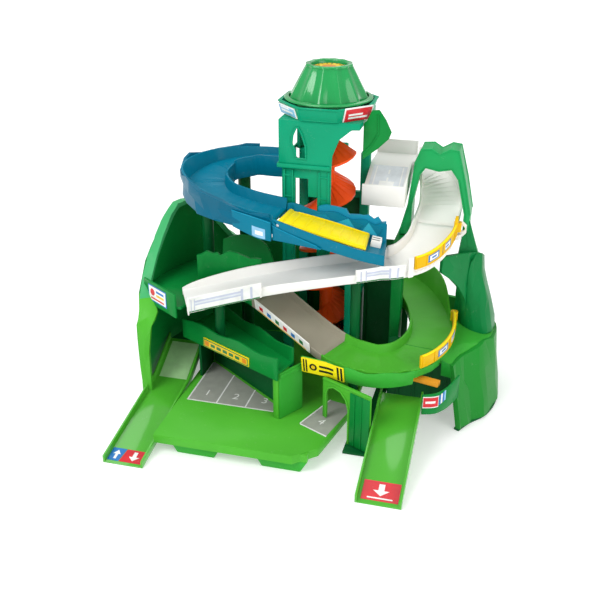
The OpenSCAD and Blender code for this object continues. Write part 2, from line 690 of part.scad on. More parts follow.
base_deck();
deck_feet();
rest_back_wall();
rest_side_wall();
rest_divider();
rest_roof();
rest_sign();
entry_ramp();
lift_feed();
left_mountain();
landing();
landing_sill();
inner_wall();
mid_road();
grey_ramp();
ramp_rail();
loop_road();
apron();
hazard_panel();
handle_arch();
exit_ramp();
garage_fascia();
right_rock();
right_leg();
floor_frame();
inner_column();
core_wall();
white_run();
white_curve();
tunnel_road();
tunnel_arch();
summit_tray();
rail_panel_right();
rail_panel_left();
blue_loop();
blue_run();
blue_rocks();
tower_frame();
tower_housing();
collar();
collar_wing();
lower_bush();
upper_bush();
lift_shaft();
spiral();
cap();
cap_disc();
cap_screw();
bridge();
bridge_pin();
upper_guard();
upper_guard_pin();
lower_guard();
lower_guard_pin();
release_lever();
lever_pin();
piers();
tower_screws();
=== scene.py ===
"""Toy mountain road track: finishes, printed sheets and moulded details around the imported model."""
import json
import math

import bpy
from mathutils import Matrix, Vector


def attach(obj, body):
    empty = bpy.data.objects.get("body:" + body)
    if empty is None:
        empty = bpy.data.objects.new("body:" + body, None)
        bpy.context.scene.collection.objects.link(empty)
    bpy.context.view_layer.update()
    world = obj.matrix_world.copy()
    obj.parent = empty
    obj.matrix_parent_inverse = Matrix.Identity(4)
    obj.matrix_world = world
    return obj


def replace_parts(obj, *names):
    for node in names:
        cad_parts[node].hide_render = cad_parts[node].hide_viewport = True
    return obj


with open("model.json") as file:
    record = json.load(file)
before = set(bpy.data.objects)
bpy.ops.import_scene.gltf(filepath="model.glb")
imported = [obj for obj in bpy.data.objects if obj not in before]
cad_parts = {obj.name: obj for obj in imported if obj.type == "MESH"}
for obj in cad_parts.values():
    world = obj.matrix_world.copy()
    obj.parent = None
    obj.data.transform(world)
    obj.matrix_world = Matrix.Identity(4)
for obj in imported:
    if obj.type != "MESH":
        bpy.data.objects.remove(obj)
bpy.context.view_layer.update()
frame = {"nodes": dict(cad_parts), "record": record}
NODES = frame["nodes"]
MM = 0.001


# Places along the roads, as in the part's source: x, y, floor height, left kerb, right kerb

WHITE = [(98.4, 66, 281, 12, 8), (106, 65.2, 278, 12, 8), (127, 57, 262, 14, 8), (136.2, 36, 239, 10, 8),
         (134, 8, 222, 0.4, 8), (131, -28, 212, 0.4, 9), (117, -58, 203, 0.4, 11), (97, -74, 199, 0.4, 12),
         (80, -77, 196, 3, 12), (56, -80.8, 191, 4, 12), (30, -84, 186, 4, 12), (-20, -94, 177, 5, 12),
         (-70, -106, 167, 6, 12), (-120, -126, 158, 6, 8), (-140, -136, 155, 6, 2)]
GREEN = [(-127.8, -62, 144, 46, 8), (-102, -62.4, 143.4, 55, 8), (-78, -66, 142.4, 48, 8), (-60, -73, 141, 14, 5),
         (-12, -91.5, 119.5, 8, 3), (36, -110, 98, 9, 3), (64, -121, 95, 10, 2), (95, -123, 94, 10, 1),
         (126, -101, 94, 10, 0.4), (142, -60, 96, 10, 0.4), (139, -15, 101, 10, 0.4), (121, 27, 108, 10, 26),
         (92, 60, 116, 10, 28), (54, 80, 122, 10, 24)]
BLUE_LOOP = [(-48.6, 10, 288, 12, 8), (-62, 10.4, 287, 12, 8), (-92, 18, 283, 12, 9), (-132, 8, 275, 12, 15),
             (-147, -28, 266, 12, 21), (-126, -60, 259, 12, 20), (-85, -76, 254, 12, 12), (-38, -80, 249, 12, 9)]
BLUE_RUN = [(-37.5, -80, 243, 12, 11), (20, -84, 234, 15, 4.4), (62, -83, 224, 18, 3.2), (88, -80, 219, 20, 3)]
STEPS = 6      # stations from one point to the next
HALF = 25.4    # half a road's width, to the outside of its kerbs
FLARE = 0.18   # how far a kerb leans out for each millimetre of height
GAP = 0.3      # room between neighbouring pieces


def bend(a, b, c, d, t):
    """One coordinate of the smooth line through b and c."""
    return 0.5 * (2 * b + (c - a) * t + (2 * a - 5 * b + 4 * c - d) * t * t + (3 * b - a - 3 * c + d) * t ** 3)


def way(points):
    """The stations of a road or wall, on a smooth line through its points."""
    last = len(points) - 1
    line = [tuple(bend(*four, k / STEPS) for four in zip(points[max(i - 1, 0)], points[i], points[i + 1],
                                                         points[min(i + 2, last)]))
            for i in range(last) for k in range(STEPS)]
    return line + [tuple(points[last])]


WHITE_WAY, GREEN_WAY, LOOP_WAY, RUN_WAY = (way(p) for p in (WHITE, GREEN, BLUE_LOOP, BLUE_RUN))


def station(line, i, side, rise):
    """Place at the whole station i, as beside gives it."""
    a, b = line[max(i - 1, 0)], line[min(i + 1, len(line) - 1)]
    dx, dy = b[0] - a[0], b[1] - a[1]
    run = math.hypot(dx, dy)
    return Vector((line[i][0] - dy / run * side, line[i][1] + dx / run * side, line[i][2] + rise))


def beside(line, s, side, rise):
    """Place at station s of a road, side mm to its left and rise mm above its floor, in millimetres."""
    i = min(int(s), len(line) - 2)
    return station(line, i, side, rise).lerp(station(line, i + 1, side, rise), s - i)


# Finishes

def colour(code):
    """Linear colour from a hex code."""
    parts = [int(code[k:k + 2], 16) / 255 for k in (0, 2, 4)]
    return tuple(c / 12.92 if c < 0.04045 else ((c + 0.055) / 1.055) ** 2.4 for c in parts) + (1.0,)


def new_group(name, inputs):
    """Node group with these inputs, which puts out a colour, a roughness and a height."""
    group = bpy.data.node_groups.new(name, "ShaderNodeTree")
    for label, kind, value in inputs:
        socket = group.interface.new_socket(label, in_out="INPUT", socket_type="NodeSocket" + kind)
        socket.default_value = value
    for label, kind in (("Colour", "Color"), ("Roughness", "Float"), ("Height", "Float")):
        group.interface.new_socket(label, in_out="OUTPUT", socket_type="NodeSocket" + kind)
    return group, group.nodes.new("NodeGroupInput"), group.nodes.new("NodeGroupOutput")


def put_out(group, out, colour, rough, height):
    for label, value in (("Colour", colour), ("Roughness", rough), ("Height", height)):
        group.links.new(value, out.inputs[label])


def node(tree, kind, **settings):
    made = tree.nodes.new(kind)
    for key, value in settings.items():
        if hasattr(made, key):
            setattr(made, key, value)
        else:
            made.inputs[key.replace("_", " ")].default_value = value
    return made


def noise(group, place, scale, detail=2.0, rough=0.5):
    made = node(group, "ShaderNodeTexNoise", Scale=scale, Detail=detail, Roughness=rough)
    group.links.new(place, made.inputs["Vector"])
    return made.outputs["Fac"]


def remap(group, source, low, high, to_low, to_high):
    made = node(group, "ShaderNodeMapRange")
    for label, value in (("From Min", low), ("From Max", high), ("To Min", to_low), ("To Max", to_high)):
        made.inputs[label].default_value = value
    group.links.new(source, made.inputs["Value"])
    return made.outputs["Result"]


def math_node(group, operation, a, b):
    made = node(group, "ShaderNodeMath", operation=operation)
    for socket, value in zip(made.inputs, (a, b)):
        if isinstance(value, (int, float)):
            socket.default_value = value
        else:
            group.links.new(value, socket)
    return made.outputs[0]


def mix_colour(group, factor, a, b):
    made = node(group, "ShaderNodeMix", data_type="RGBA")
    for socket, value in ((made.inputs[0], factor), (made.inputs[6], a), (made.inputs[7], b)):
        if isinstance(value, (int, float, tuple)):
            socket.default_value = value
        else:
            group.links.new(value, socket)
    return made.outputs[2]


def moulding_group():
    """Moulded plastic: flow clouds in the colour, fine spark-eroded grain, handling scuffs and dust."""
    group, given, out = new_group("moulded surface", [
        ("Colour", "Color", (0.5, 0.5, 0.5, 1)), ("Deep", "Color", (0.4, 0.4, 0.4, 1)),
        ("Roughness", "Float", 0.35), ("Grain", "Float", 0.5), ("Dust", "Float", 0.1)])
    place = node(group, "ShaderNodeTexCoord").outputs["Object"]
    clouds = remap(group, noise(group, place, 14, 3), 0.35, 0.7, 0, 1)
    specks = remap(group, noise(group, place, 420, 2), 0.55, 0.75, 0, 1)
    scuffs = remap(group, noise(group, place, 60, 6, 0.7), 0.56, 0.72, 0, 1)
    grain = noise(group, place, 1500, 2)
    ripple = noise(group, place, 45, 1)
    tone = mix_colour(group, math_node(group, "MULTIPLY", clouds, 0.55), given.outputs["Colour"],
                      given.outputs["Deep"])
    dusty = math_node(group, "MULTIPLY", math_node(group, "MULTIPLY", scuffs, specks), given.outputs["Dust"])
    rough = math_node(group, "ADD", given.outputs["Roughness"], math_node(group, "MULTIPLY", scuffs, 0.14))
    fine = math_node(group, "MULTIPLY", grain, given.outputs["Grain"])
    put_out(group, out, mix_colour(group, dusty, tone, (0.75, 0.74, 0.7, 1)), rough,
            math_node(group, "ADD", fine, math_node(group, "MULTIPLY", ripple, 0.6)))
    return group


def print_group():
    """Printed self-adhesive sheet: ink density, paper fibre and a few rubbed places."""
    group, given, out = new_group("printed sheet", [
        ("Colour", "Color", (0.5, 0.5, 0.5, 1)), ("Roughness", "Float", 0.3)])
    place = node(group, "ShaderNodeTexCoord").outputs["Object"]
    ink = remap(group, noise(group, place, 90, 3), 0.3, 0.7, 0, 0.16)
    fibre = noise(group, place, 900, 4)
    rubbed = remap(group, noise(group, place, 160, 5, 0.7), 0.62, 0.75, 0, 0.2)
    tone = mix_colour(group, ink, given.outputs["Colour"], (0.02, 0.02, 0.02, 1))
    put_out(group, out, mix_colour(group, rubbed, tone, (0.8, 0.8, 0.78, 1)),
            math_node(group, "ADD", given.outputs["Roughness"], rubbed), fibre)
    return group


def metal_group():
    """Turned steel: rings of tool marks and small oxide stains."""
    group, given, out = new_group("turned steel", [("Colour", "Color", (0.6, 0.6, 0.62, 1))])
    place = node(group, "ShaderNodeTexCoord").outputs["Object"]
    rings = node(group, "ShaderNodeTexWave", wave_type="BANDS", bands_direction="Z", Scale=900, Distortion=0.6)
    group.links.new(place, rings.inputs["Vector"])
    stain = remap(group, noise(group, place, 300, 3), 0.55, 0.8, 0, 0.35)
    put_out(group, out, mix_colour(group, stain, given.outputs["Colour"], (0.2, 0.18, 0.16, 1)),
            math_node(group, "ADD", stain, 0.28), rings.outputs["Fac"])
    return group


MOULDED = moulding_group()
PRINTED = print_group()
STEEL = metal_group()


def finish_material(name, group, values, bump, distance, **shader):
    """A Principled material fed by one of the groups; shader holds the plain socket values."""
    made = bpy.data.materials.new(name)
    made.use_nodes = True
    tree = made.node_tree
    bsdf = tree.nodes["Principled BSDF"]
    effect = tree.nodes.new("ShaderNodeGroup")
    effect.node_tree = group
    for label, value in values.items():
        effect.inputs[label].default_value = value
    relief = node(tree, "ShaderNodeBump", Strength=bump, Distance=distance)
    tree.links.new(effect.outputs["Height"], relief.inputs["Height"])
    tree.links.new(effect.outputs["Colour"], bsdf.inputs["Base Color"])
    tree.links.new(effect.outputs["Roughness"], bsdf.inputs["Roughness"])
    tree.links.new(relief.outputs["Normal"], bsdf.inputs["Normal"])
    for label, value in shader.items():
        bsdf.inputs[label.replace("_", " ")].default_value = value
    made.diffuse_color = values["Colour"]
    return made


def plastic(name, code, deep, rough=0.34, grain=0.5, dust=0.12, coat=0.05):
    return finish_material(name, MOULDED, {"Colour": colour(code), "Deep": colour(deep), "Roughness": rough,
                                           "Grain": grain, "Dust": dust},
                           0.12, 0.0004, Coat_Weight=coat, Coat_Roughness=0.12, Specular_IOR_Level=0.1)


def ink(name, code, rough):
    return finish_material(name, PRINTED, {"Colour": colour(code), "Roughness": rough}, 0.06, 0.0002,
                           Coat_Weight=0.1, Coat_Roughness=0.15, Specular_IOR_Level=0.3)


# Each plastic: colour, deeper colour, then roughness, grain, dust and gloss coat where they differ
PLASTIC = {name: plastic(name + "_moulding", *look) for name, look in {
    "light_green": ("52b434", "46a42d"),
    "mid_green": ("0b8438", "087331"),
    "dark_green": ("07602f", "054f26", 0.4),
    "tower_green": ("0a9c72", "088a63"),
    "ramp_green": ("4fb031", "47a42b", 0.3, 0.3, 0.1, 0.8),
    "cap_green": ("169a4e", "128a45", 0.24, 0.3, 0.08, 0.9),
    # rim_highlight_green is the lip's lighter green, made paler and bluer to paint the highlight along its top: part
    # own colour, part painted highlight.
    "rim_highlight_green": ("46ae6c", "3ca05f"),
    "rock_green": ("1f8c2e", "1a7e28", 0.38),
    "loop_green": ("3cab3a", "329b31"),
    "arch_green": ("1f9f58", "198f4d"),
    "leg_green": ("0d7f40", "0a7037", 0.38),
    "road_blue": ("027590", "026783", 0.3),
    "cliff_blue": ("016480", "015772"),
    "rock_blue": ("168bab", "107a9a", 0.36),
    # crystal_lit_blue is the pale half of the flat crystal facets: it paints their lit side.
    "crystal_lit_blue": ("2ba3c2", "2296b6", 0.36),
    "yellow": ("fae51e", "f4da18"),
    # amber is a darker, oranger copy of the guards' yellow: it paints the shade on their faces below the yellow top
    # beads.
    "amber": ("e9bb10", "e2ae0c"),
    "ivory": ("f3f2ee", "e9e7e1", 0.36),
    "orange": ("f8571a", "ee4a12"),
    "lever_amber": ("e39a2a", "d98d20"),
    "grey": ("a39c8b", "958e7e", 0.45),
}.items()}
PLASTIC["steel"] = finish_material("turned_steel", STEEL, {"Colour": (0.56, 0.57, 0.58, 1)}, 0.1, 0.0001,
                                   Metallic=1.0)
# The pale mist sheet is painted glare: a flat pale colour standing in for light reflected off the entry ramp's upper
# slope.
MATT_INK = {"tar": 0.6, "painted_glare": 0.4}
INK = {name: ink(name + "_print", code, MATT_INK.get(name, 0.3)) for name, code in {
    "white": "f4f4f2", "red": "d8232f", "blue": "2579c4", "sky": "8fc4e6", "black": "17181a", "green": "2f7d46",
    "sun": "f4c81c", "lilac": "c9cde2", "tar": "a4a79e", "orange": "e58a1d", "pale": "dfe4ea", "painted_glare": "a9d69a"
}.items()}


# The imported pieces: finish, soft moulded edges

EDGE = {"floor_frame": 0.4, "cap": 0.9, "tunnel_arch": 1.6, "handle_arch": 1.0, "tower_housing": 1.2,
        "collar": 0.9, "base_deck": 0.9, "deck_feet": 1.2, "summit_tray": 0.9}
COMMON_EDGE = 0.5


def soften(piece, width, hard):
    """Welded, bevelled and smoothly shaded, as a moulding's edges are."""
    piece.data.shade_smooth()
    weld = piece.modifiers.new("weld", "WELD")
    weld.merge_threshold = 0.00002
    bevel = piece.modifiers.new("edge", "BEVEL")
    bevel.width = width * MM
    bevel.segments = 2
    bevel.limit_method = "ANGLE"
    bevel.angle_limit = math.radians(28)
    bevel.harden_normals = hard
    bevel.use_clamp_overlap = True


# deck_feet take the loop green, darker than the deck's light green: painted shade on the feet under the deck's front
# edge.
TONES = {"cap": "cap_green", "upper_guard": "amber", "lower_guard": "amber", "tunnel_arch": "arch_green",
         "release_lever": "lever_amber", "entry_ramp": "ramp_green", "exit_ramp": "ramp_green",
         "deck_feet": "loop_green", "apron": "loop_green"}
SLOT_OF = {s["node"]: s["material_slot"] for s in frame["record"]["subparts"]}
for name, piece in NODES.items():
    piece.data.materials.clear()
    piece.data.materials.append(PLASTIC[TONES.get(name, SLOT_OF[name])])
    soften(piece, EDGE.get(name, COMMON_EDGE), name != "spiral")


# Modelling tools

def only(piece):
    bpy.ops.object.select_all(action="DESELECT")
    piece.select_set(True)
    bpy.context.view_layer.objects.active = piece


def start(kind, name, **settings):
    """A primitive, alone selected, to shape further."""
    bpy.ops.object.select_all(action="DESELECT")
    getattr(bpy.ops.mesh, "primitive_" + kind + "_add")(**settings)
    piece = bpy.context.object
    piece.name = piece.data.name = name
    return piece


def modify(piece, kind, **settings):
    """Adds a modifier and applies it."""
    made = piece.modifiers.new(kind.lower(), kind)
    for key, value in settings.items():
        setattr(made, key, value)
    only(piece)
    bpy.ops.object.modifier_apply(modifier=made.name)


def round_edges(piece, width, angle=35):
    modify(piece, "BEVEL", width=width * MM, segments=2, limit_method="ANGLE", angle_limit=math.radians(angle))


def open_all(piece):
    """Edit mode with the whole piece selected."""
    only(piece)
    bpy.ops.object.mode_set(mode="EDIT")
    bpy.ops.mesh.select_all(action="SELECT")


def close():
    bpy.ops.object.mode_set(mode="OBJECT")


def join(name, parts):
    bpy.ops.object.select_all(action="DESELECT")
    for part in parts:
        part.select_set(True)
    bpy.context.view_layer.objects.active = parts[0]
    if len(parts) > 1:
        bpy.ops.object.join()
    parts[0].name = parts[0].data.name = name
    return parts[0]


def finished(name, parts, body, angle=35):
    """One piece from its parts, smooth up to an angle, on its body."""
    piece = join(name, parts)
    only(piece)
    bpy.ops.object.shade_smooth_by_angle(angle=math.radians(angle))
    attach(piece, body)
    return piece


def plane_at(origin, right, up):
    """Flat face: millimetres along right and up from origin, lift along its normal."""
    origin, right, up = Vector(origin), Vector(right).normalized(), Vector(up).normalized()
    out = right.cross(up)
    return lambda u, v, lift: origin + right * u + up * v + out * lift


def upright(y):
    """Upright face towards the front, at depth y: u is x and v is the height."""
    return plane_at((0, y, 0), (1, 0, 0), (0, 0, 1))


def level(z):
    """Level face at height z: u is x and v is y."""
    return plane_at((0, 0, z), (1, 0, 0), (0, 1, 0))


def turn_outwards(piece, face, u, v):
    """Flips a sheet whose faces look into the face that carries it."""
    piece.data.update()
    if piece.data.polygons[0].normal.dot(face(u, v, 1) - face(u, v, 0)) < 0:
        open_all(piece)
        bpy.ops.mesh.flip_normals()
        close()


SHEET, SECOND, THIRD = 0.06, 0.2, 0.36   # lifts of printed sheets that lie on one another


def patch(face, material, u0, v0, u1, v1, lift=SHEET, thick=0.25, across=1, up=1):
    """Rectangle of printed sheet or moulding laid on a face and thickened outwards."""
    piece = start("grid", "patch", x_subdivisions=across, y_subdivisions=up, size=1)
    for point in piece.data.vertices:
        u, v = u0 + (u1 - u0) * (point.co.x + 0.5), v0 + (v1 - v0) * (point.co.y + 0.5)
        point.co = face(u, v, lift) * MM
    turn_outwards(piece, face, u0, v0)
    piece.data.materials.append(material)
    modify(piece, "SOLIDIFY", thickness=thick * MM, offset=1, use_even_offset=True)
    return piece


def cutout(face, material, outline, lift=SHEET, thick=0.25):
    """Shape cut from sheet, its outline anticlockwise in millimetres on a face."""
    piece = start("circle", "cutout", vertices=len(outline), fill_type="NGON")
    for point, (u, v) in zip(piece.data.vertices, outline):
        point.co = face(u, v, lift) * MM
    turn_outwards(piece, face, *outline[0])
    piece.data.materials.append(material)
    modify(piece, "SOLIDIFY", thickness=thick * MM, offset=1)
    return piece


def circle_outline(u, v, r, n=24):
    turns = [math.tau * k / n for k in range(n)]
    return [(u + r * math.cos(a), v + r * math.sin(a)) for a in turns]


def arrow_outline(u, v, wide, tall, down=False):
    """Block arrow centred on u, v."""
    k = -1 if down else 1
    points = [(-0.18, -0.5), (0.18, -0.5), (0.18, 0.05), (0.5, 0.05), (0, 0.5), (-0.5, 0.05), (-0.18, 0.05)]
    return [(u + k * x * wide, v + k * y * tall) for x, y in points]


def bead(name, points, radius, material, closed=False):
    """Round bead of plastic along a line, in millimetres."""
    curve = bpy.data.curves.new(name, "CURVE")
    curve.dimensions = "3D"
    curve.bevel_depth = radius * MM
    curve.bevel_resolution = 2
    curve.use_fill_caps = True
    line = curve.splines.new("POLY")
    line.points.add(len(points) - 1)
    for spot, place in zip(line.points, points):
        spot.co = (*(Vector(place) * MM), 1)
    line.use_cyclic_u = closed
    piece = bpy.data.objects.new(name, curve)
    bpy.context.scene.collection.objects.link(piece)
    only(piece)
    bpy.ops.object.convert(target="MESH")
    piece = bpy.context.object
    piece.data.materials.clear()
    piece.data.materials.append(material)
    return piece


def block(face, material, u0, v0, u1, v1, low, high, edge=0.4, across=1, up=1):
    """Moulded block on a face, from low to high above it, with soft edges."""
    piece = patch(face, material, u0, v0, u1, v1, low, high - low, across, up)
    round_edges(piece, edge)
    return piece


def chance(i, j, seed):
    """Scattered value from 0 to 1, the same in each run."""
    return math.sin(i * 12.9898 + j * 78.233 + seed * 37.719) * 43758.5453 % 1


def rock_skin(name, face, across, up, relief, back, tones, seed, split=0.0, edge=0.5, ragged=0.0):
    """Wall of broken facets: relief mm proud of a face at most, back mm behind it, two tones parted at split."""
    span, low, high = face.span, *relief
    piece = start("grid", name, x_subdivisions=across, y_subdivisions=up, size=1)
    places = []
    for point in piece.data.vertices:
        i, j = round((point.co.x + 0.5) * across), round((point.co.y + 0.5) * up)
        u = i + (chance(i, j, seed) - 0.5) * 0.7 * (0 < i < across)
        v = j + (chance(j, i, seed + 1) - 0.5) * 0.7 * (0 < j < up)
        v = v / up + (j == up) * (chance(i, 3, seed + 4) - 0.6) * ragged
        places.append((span[0] + (span[1] - span[0]) * u / across, v))
        proud = 0.6 * chance(i, 1, seed + 2) + 0.4 * chance(i, j, seed + 3)
        point.co = face(*places[-1], low + (high - low) * proud) * MM
    turn_outwards(piece, face, *places[0])
    count = len(places)
    modify(piece, "SOLIDIFY", thickness=0.003, offset=-1)
    for k, place in enumerate(places):
        piece.data.vertices[count + k].co = face(*place, -back) * MM
    open_all(piece)
    bpy.ops.mesh.quads_convert_to_tris(quad_method="SHORTEST_DIAGONAL")
    close()
    for tone in tones:
        piece.data.materials.append(tone)
    if len(tones) > 1:
        for side in piece.data.polygons:
            inner = all(corner >= count for corner in side.vertices)
            side.material_index = int(side.center.z < split * MM and not inner)
    round_edges(piece, edge, 12)
    return piece


class WallFace:
    """Outer face of a free wall along points of x, y, foot, top and lean; v goes from foot to top."""

    def __init__(self, points, side, low=0.0, thick=3.0):
        self.line, self.side, self.low, self.thick = way(points), side, low, thick
        self.span = (0, len(self.line) - 1)

    def __call__(self, u, v, lift):
        i = min(max(int(u), 0), len(self.line) - 2)
        a, b = self.line[i], self.line[i + 1]
        foot, top, lean = (a[k] + (b[k] - a[k]) * (u - i) for k in (2, 3, 4))
        foot = max(foot, self.low)
        place = beside(self.line, u, self.side * (self.thick / 2 + lift) + lean * v, 0)
        place.z = foot + (top - foot) * v
        return place


class KerbFace:
    """Outer face of a road's kerb between two stations; v goes from low to the kerb's top plus more."""

    def __init__(self, line, side, first, last, low, more, out=0.0):
        self.line, self.side, self.span, self.low, self.more, self.out = line, side, (first, last), low, more, out

    def __call__(self, u, v, lift):
        i = min(max(int(u), 0), len(self.line) - 2)
        column = 3 if self.side > 0 else 4
        a, b = self.line[i][column], self.line[i + 1][column]
        high = a + (b - a) * (u - i) + self.more
        rise = self.low + (high - self.low) * v
        return beside(self.line, u, self.side * (HALF + self.out + FLARE * max(rise, 0) + lift), rise)


class RimFace:
    """Broad lip along a wall's front edge and top as far as station last; v goes inwards over wide mm.

    Round the front's upper corner the lip is broader by brow mm.
    """
    BROW_AT, BROW_REACH = 16, 7

    def __init__(self, wall, last, wide, brow):
        steps = [(0, k / 12) for k in range(12)] + [(k / 2, 1) for k in range(2 * last + 1)]
        self.edge = [wall(u, v, 1) for u, v in steps]
        self.inwards = [(wall(u, v, 0) - wall(u, v, 1)).normalized() for u, v in steps]
        self.span, self.wide, self.brow = (0, len(steps) - 1), wide, brow

    def __call__(self, u, v, lift):
        i = min(max(int(u), 0), len(self.edge) - 2)
        place = self.edge[i].lerp(self.edge[i + 1], u - i)
        inward = self.inwards[i].lerp(self.inwards[i + 1], u - i)
        along = (self.edge[min(i + 2, len(self.edge) - 1)] - self.edge[max(i - 1, 0)]).normalized()
        wide = self.wide + self.brow * max(0, 1 - abs(u - self.BROW_AT) / self.BROW_REACH)
        return place + inward * (wide * v) + inward.cross(along) * lift


def turned(name, profile, material, sides=64):
    """Ring turned about the lift's axis from a closed outline of radius and height."""
    r, z = profile[0]
    piece = start("circle", name, vertices=sides, radius=r * MM, location=(0, 0, z * MM))
    bpy.ops.object.transform_apply(location=True)
    open_all(piece)
    for (r0, z0), (r1, z1) in zip(profile, profile[1:] + profile[:1]):
        bpy.ops.mesh.extrude_region_move(TRANSFORM_OT_translate={"value": (0, 0, (z1 - z0) * MM)})
        bpy.ops.transform.resize(value=(r1 / r0, r1 / r0, 1), center_override=(0, 0, z1 * MM))
    close()
    open_all(piece)
    bpy.ops.mesh.remove_doubles(threshold=0.000005)
    bpy.ops.mesh.normals_make_consistent(inside=False)
    close()
    piece.data.materials.append(material)
    round_edges(piece, 0.5, 30)
    return piece


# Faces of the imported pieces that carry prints

def ramp_face(x, foot, head):
    """Floor of a straight ramp from its left edge x, between two places of y and z."""
    run = math.hypot(head[0] - foot[0], head[1] - foot[1])
    return plane_at((x, foot[0], foot[1]), (1, 0, 0), (0, (head[0] - foot[0]) / run, (head[1] - foot[1]) / run))


DECK_TOP = 25
ENTRY_X, ENTRY_BEND = -197.5, (-115, 25)
ENTRY_FACE = ramp_face(ENTRY_X, (-267, 1), ENTRY_BEND)
ENTRY_UPPER = ramp_face(ENTRY_X, ENTRY_BEND, (-59, 54))
EXIT_FACE = ramp_face(96, (-263, 1), (-118, 52))
DECK_FACE = level(DECK_TOP)
SIGN_FACE = plane_at((-161, -96, 82), (145, -74, 0), (0, 0, 1))
SILL_FACE = plane_at((-201.5, -111.3, 133), (55, -36.7, 0), (0, 0, 1))
APRON_FREE = Vector((5, -137, 97))
APRON_JOIN, APRON_DROP, PANEL_OUT, STATION_LENGTH = 33, 17, 4.3, 5


def hazard_face(u, v, lift):
    """Front of the yellow panel under the loop, then of the apron beside it: u along, v above the lower edge."""
    to_join = (beside(GREEN_WAY, APRON_JOIN, -HALF - GAP, 0) - APRON_FREE).xy
    run = to_join.length
    ahead = to_join / run
    side, rise = -(PANEL_OUT + FLARE * v + lift), v - APRON_DROP
    free = APRON_FREE + Vector((-ahead.y * side, ahead.x * side, rise))
    past = max(u - run, 0) / STATION_LENGTH
    return free.lerp(beside(GREEN_WAY, APRON_JOIN + past, side - HALF - GAP, rise), min(u / run, 1))


def rail_face(line, offset, lean):
    """Outer face of a wall beside a road: u in stations, v above the floor, leaning out by lean."""
    side = 1 if offset > 0 else -1
    return lambda u, v, lift: beside(line, u, offset + side * (lift + lean * v), v)


PANEL_T, GUARD_OUT = 2.1, 3.3
WHITE_RIGHT = rail_face(WHITE_WAY, HALF + PANEL_T + FLARE * 6, FLARE)
WHITE_LEFT = rail_face(WHITE_WAY, HALF + PANEL_T + FLARE * 7, FLARE)
UPPER_GUARD = rail_face(WHITE_WAY, HALF + GUARD_OUT, 0)
LOWER_GUARD = rail_face(GREEN_WAY, -HALF - GUARD_OUT, 0)
RAMP_RAIL = rail_face(GREEN_WAY, -HALF - 1.9 - FLARE * 5, FLARE)
FASCIA_WAY = way([(147.9, -141, 44), (163, -137, 45), (175, -124, 47), (185, -100, 49)])


# Printed sheets

def ramp_prints():
    """Arrow sheets at both ramps' ends, and a pale sheet that paints the glare of light on the entry ramp's upper
    slope.
    """
    blue = [(3, 4), (17, 4), (20, 24), (3, 24)]
    red = [(17.6, 4), (46, 4), (46, 24), (20.6, 24)]
    # The last sheet, on the upper slope, is painted glare of light and not a print.
    parts = [cutout(ENTRY_FACE, INK["blue"], blue), cutout(ENTRY_FACE, INK["red"], red),
             cutout(ENTRY_FACE, INK["white"], arrow_outline(11, 14, 9, 14), SECOND),
             cutout(ENTRY_FACE, INK["white"], arrow_outline(33, 14, 13, 14, True), SECOND),
             patch(ENTRY_UPPER, INK["painted_glare"], 6, 3, 43, 58)]
    finished("entry_ramp_print", parts, "track")
    parts = [patch(EXIT_FACE, INK["red"], 5.5, 5, 46.5, 30),
             cutout(EXIT_FACE, INK["white"], arrow_outline(26, 19, 18, 15, True), SECOND),
             patch(EXIT_FACE, INK["white"], 12, 7.6, 40, 9.2, SECOND)]
    finished("exit_ramp_print", parts, "track")


def bay_number(text, x, y, size, turn=0.0):
    """White number lying on a bay's sheet."""
    bpy.ops.object.select_all(action="DESELECT")
    bpy.ops.object.text_add(location=(x * MM, y * MM, (DECK_TOP + 0.3) * MM), rotation=(0, 0, turn))
    piece = bpy.context.object
    piece.data.body = text
    piece.data.size = size * MM
    piece.data.align_x = "CENTER"
    piece.data.extrude = 0.00012
    bpy.ops.object.convert(target="MESH")
    piece = bpy.context.object
    bpy.ops.object.transform_apply(location=True, rotation=True, scale=True)
    piece.data.materials.clear()
    piece.data.materials.append(INK["white"])
    return piece


def bay_prints():
    """Grey parking sheets on the deck with white lines and plain bay numbers."""
    floor = [(-138, -152), (-26, -152), (-26, -140), (-136, -58)]
    parts = [cutout(DECK_FACE, INK["tar"], floor)]
    for x, back in ((-137, -60), (-100, -84.28), (-63, -111.29), (-27, -137.57)):
        parts.append(patch(DECK_FACE, INK["white"], x - 0.9, -152, x + 0.9, back, SECOND))
    parts.append(patch(DECK_FACE, INK["white"], -138, -153.6, -26, -151.8, SECOND))
    parts += [bay_number(str(k + 1), -118 + 37 * k, -138, 17) for k in range(3)]
    finished("bay_sheet", parts, "track")
    side = [(11, -169), (46, -186), (61, -126), (58, -116), (34, -110)]
    edge = [(9.4, -168.4), (11, -169), (34, -110), (32.4, -109.4)]
    front = [(10.4, -170.4), (46, -188), (46.4, -186), (11, -168.8)]
    parts = [cutout(DECK_FACE, INK["tar"], side), cutout(DECK_FACE, INK["white"], edge, SECOND),
             cutout(DECK_FACE, INK["white"], front, SECOND), bay_number("4", 32, -164, 16, math.radians(-22))]
    finished("side_bay_sheet", parts, "track")


def hazard_print():
    """Yellow sheet along the panel and apron, with black bars at both ends and a plain ring."""
    parts = [block(hazard_face, PLASTIC["yellow"], 0.6, 0.4, 52, 20.4, -1.5, 0.03, 0.3, 20)]
    thick = 0.2
    for u in (3, 6.4, 45.4, 48.8):
        parts.append(patch(hazard_face, INK["black"], u, 1.4, u + 1.9, 19.4, SHEET, thick, 2))
    for tone, r, lift in (("black", 4.9, SHEET), ("sun", 2.6, SECOND)):
        parts.append(cutout(hazard_face, INK[tone], circle_outline(16, 10, r), lift, thick))
    for v, a, b in ((11.6, 24, 42), (5.2, 23.5, 41)):
        parts.append(patch(hazard_face, INK["black"], a, v, b, v + 3, SHEET, thick, 8))
    finished("hazard_print", parts, "track")


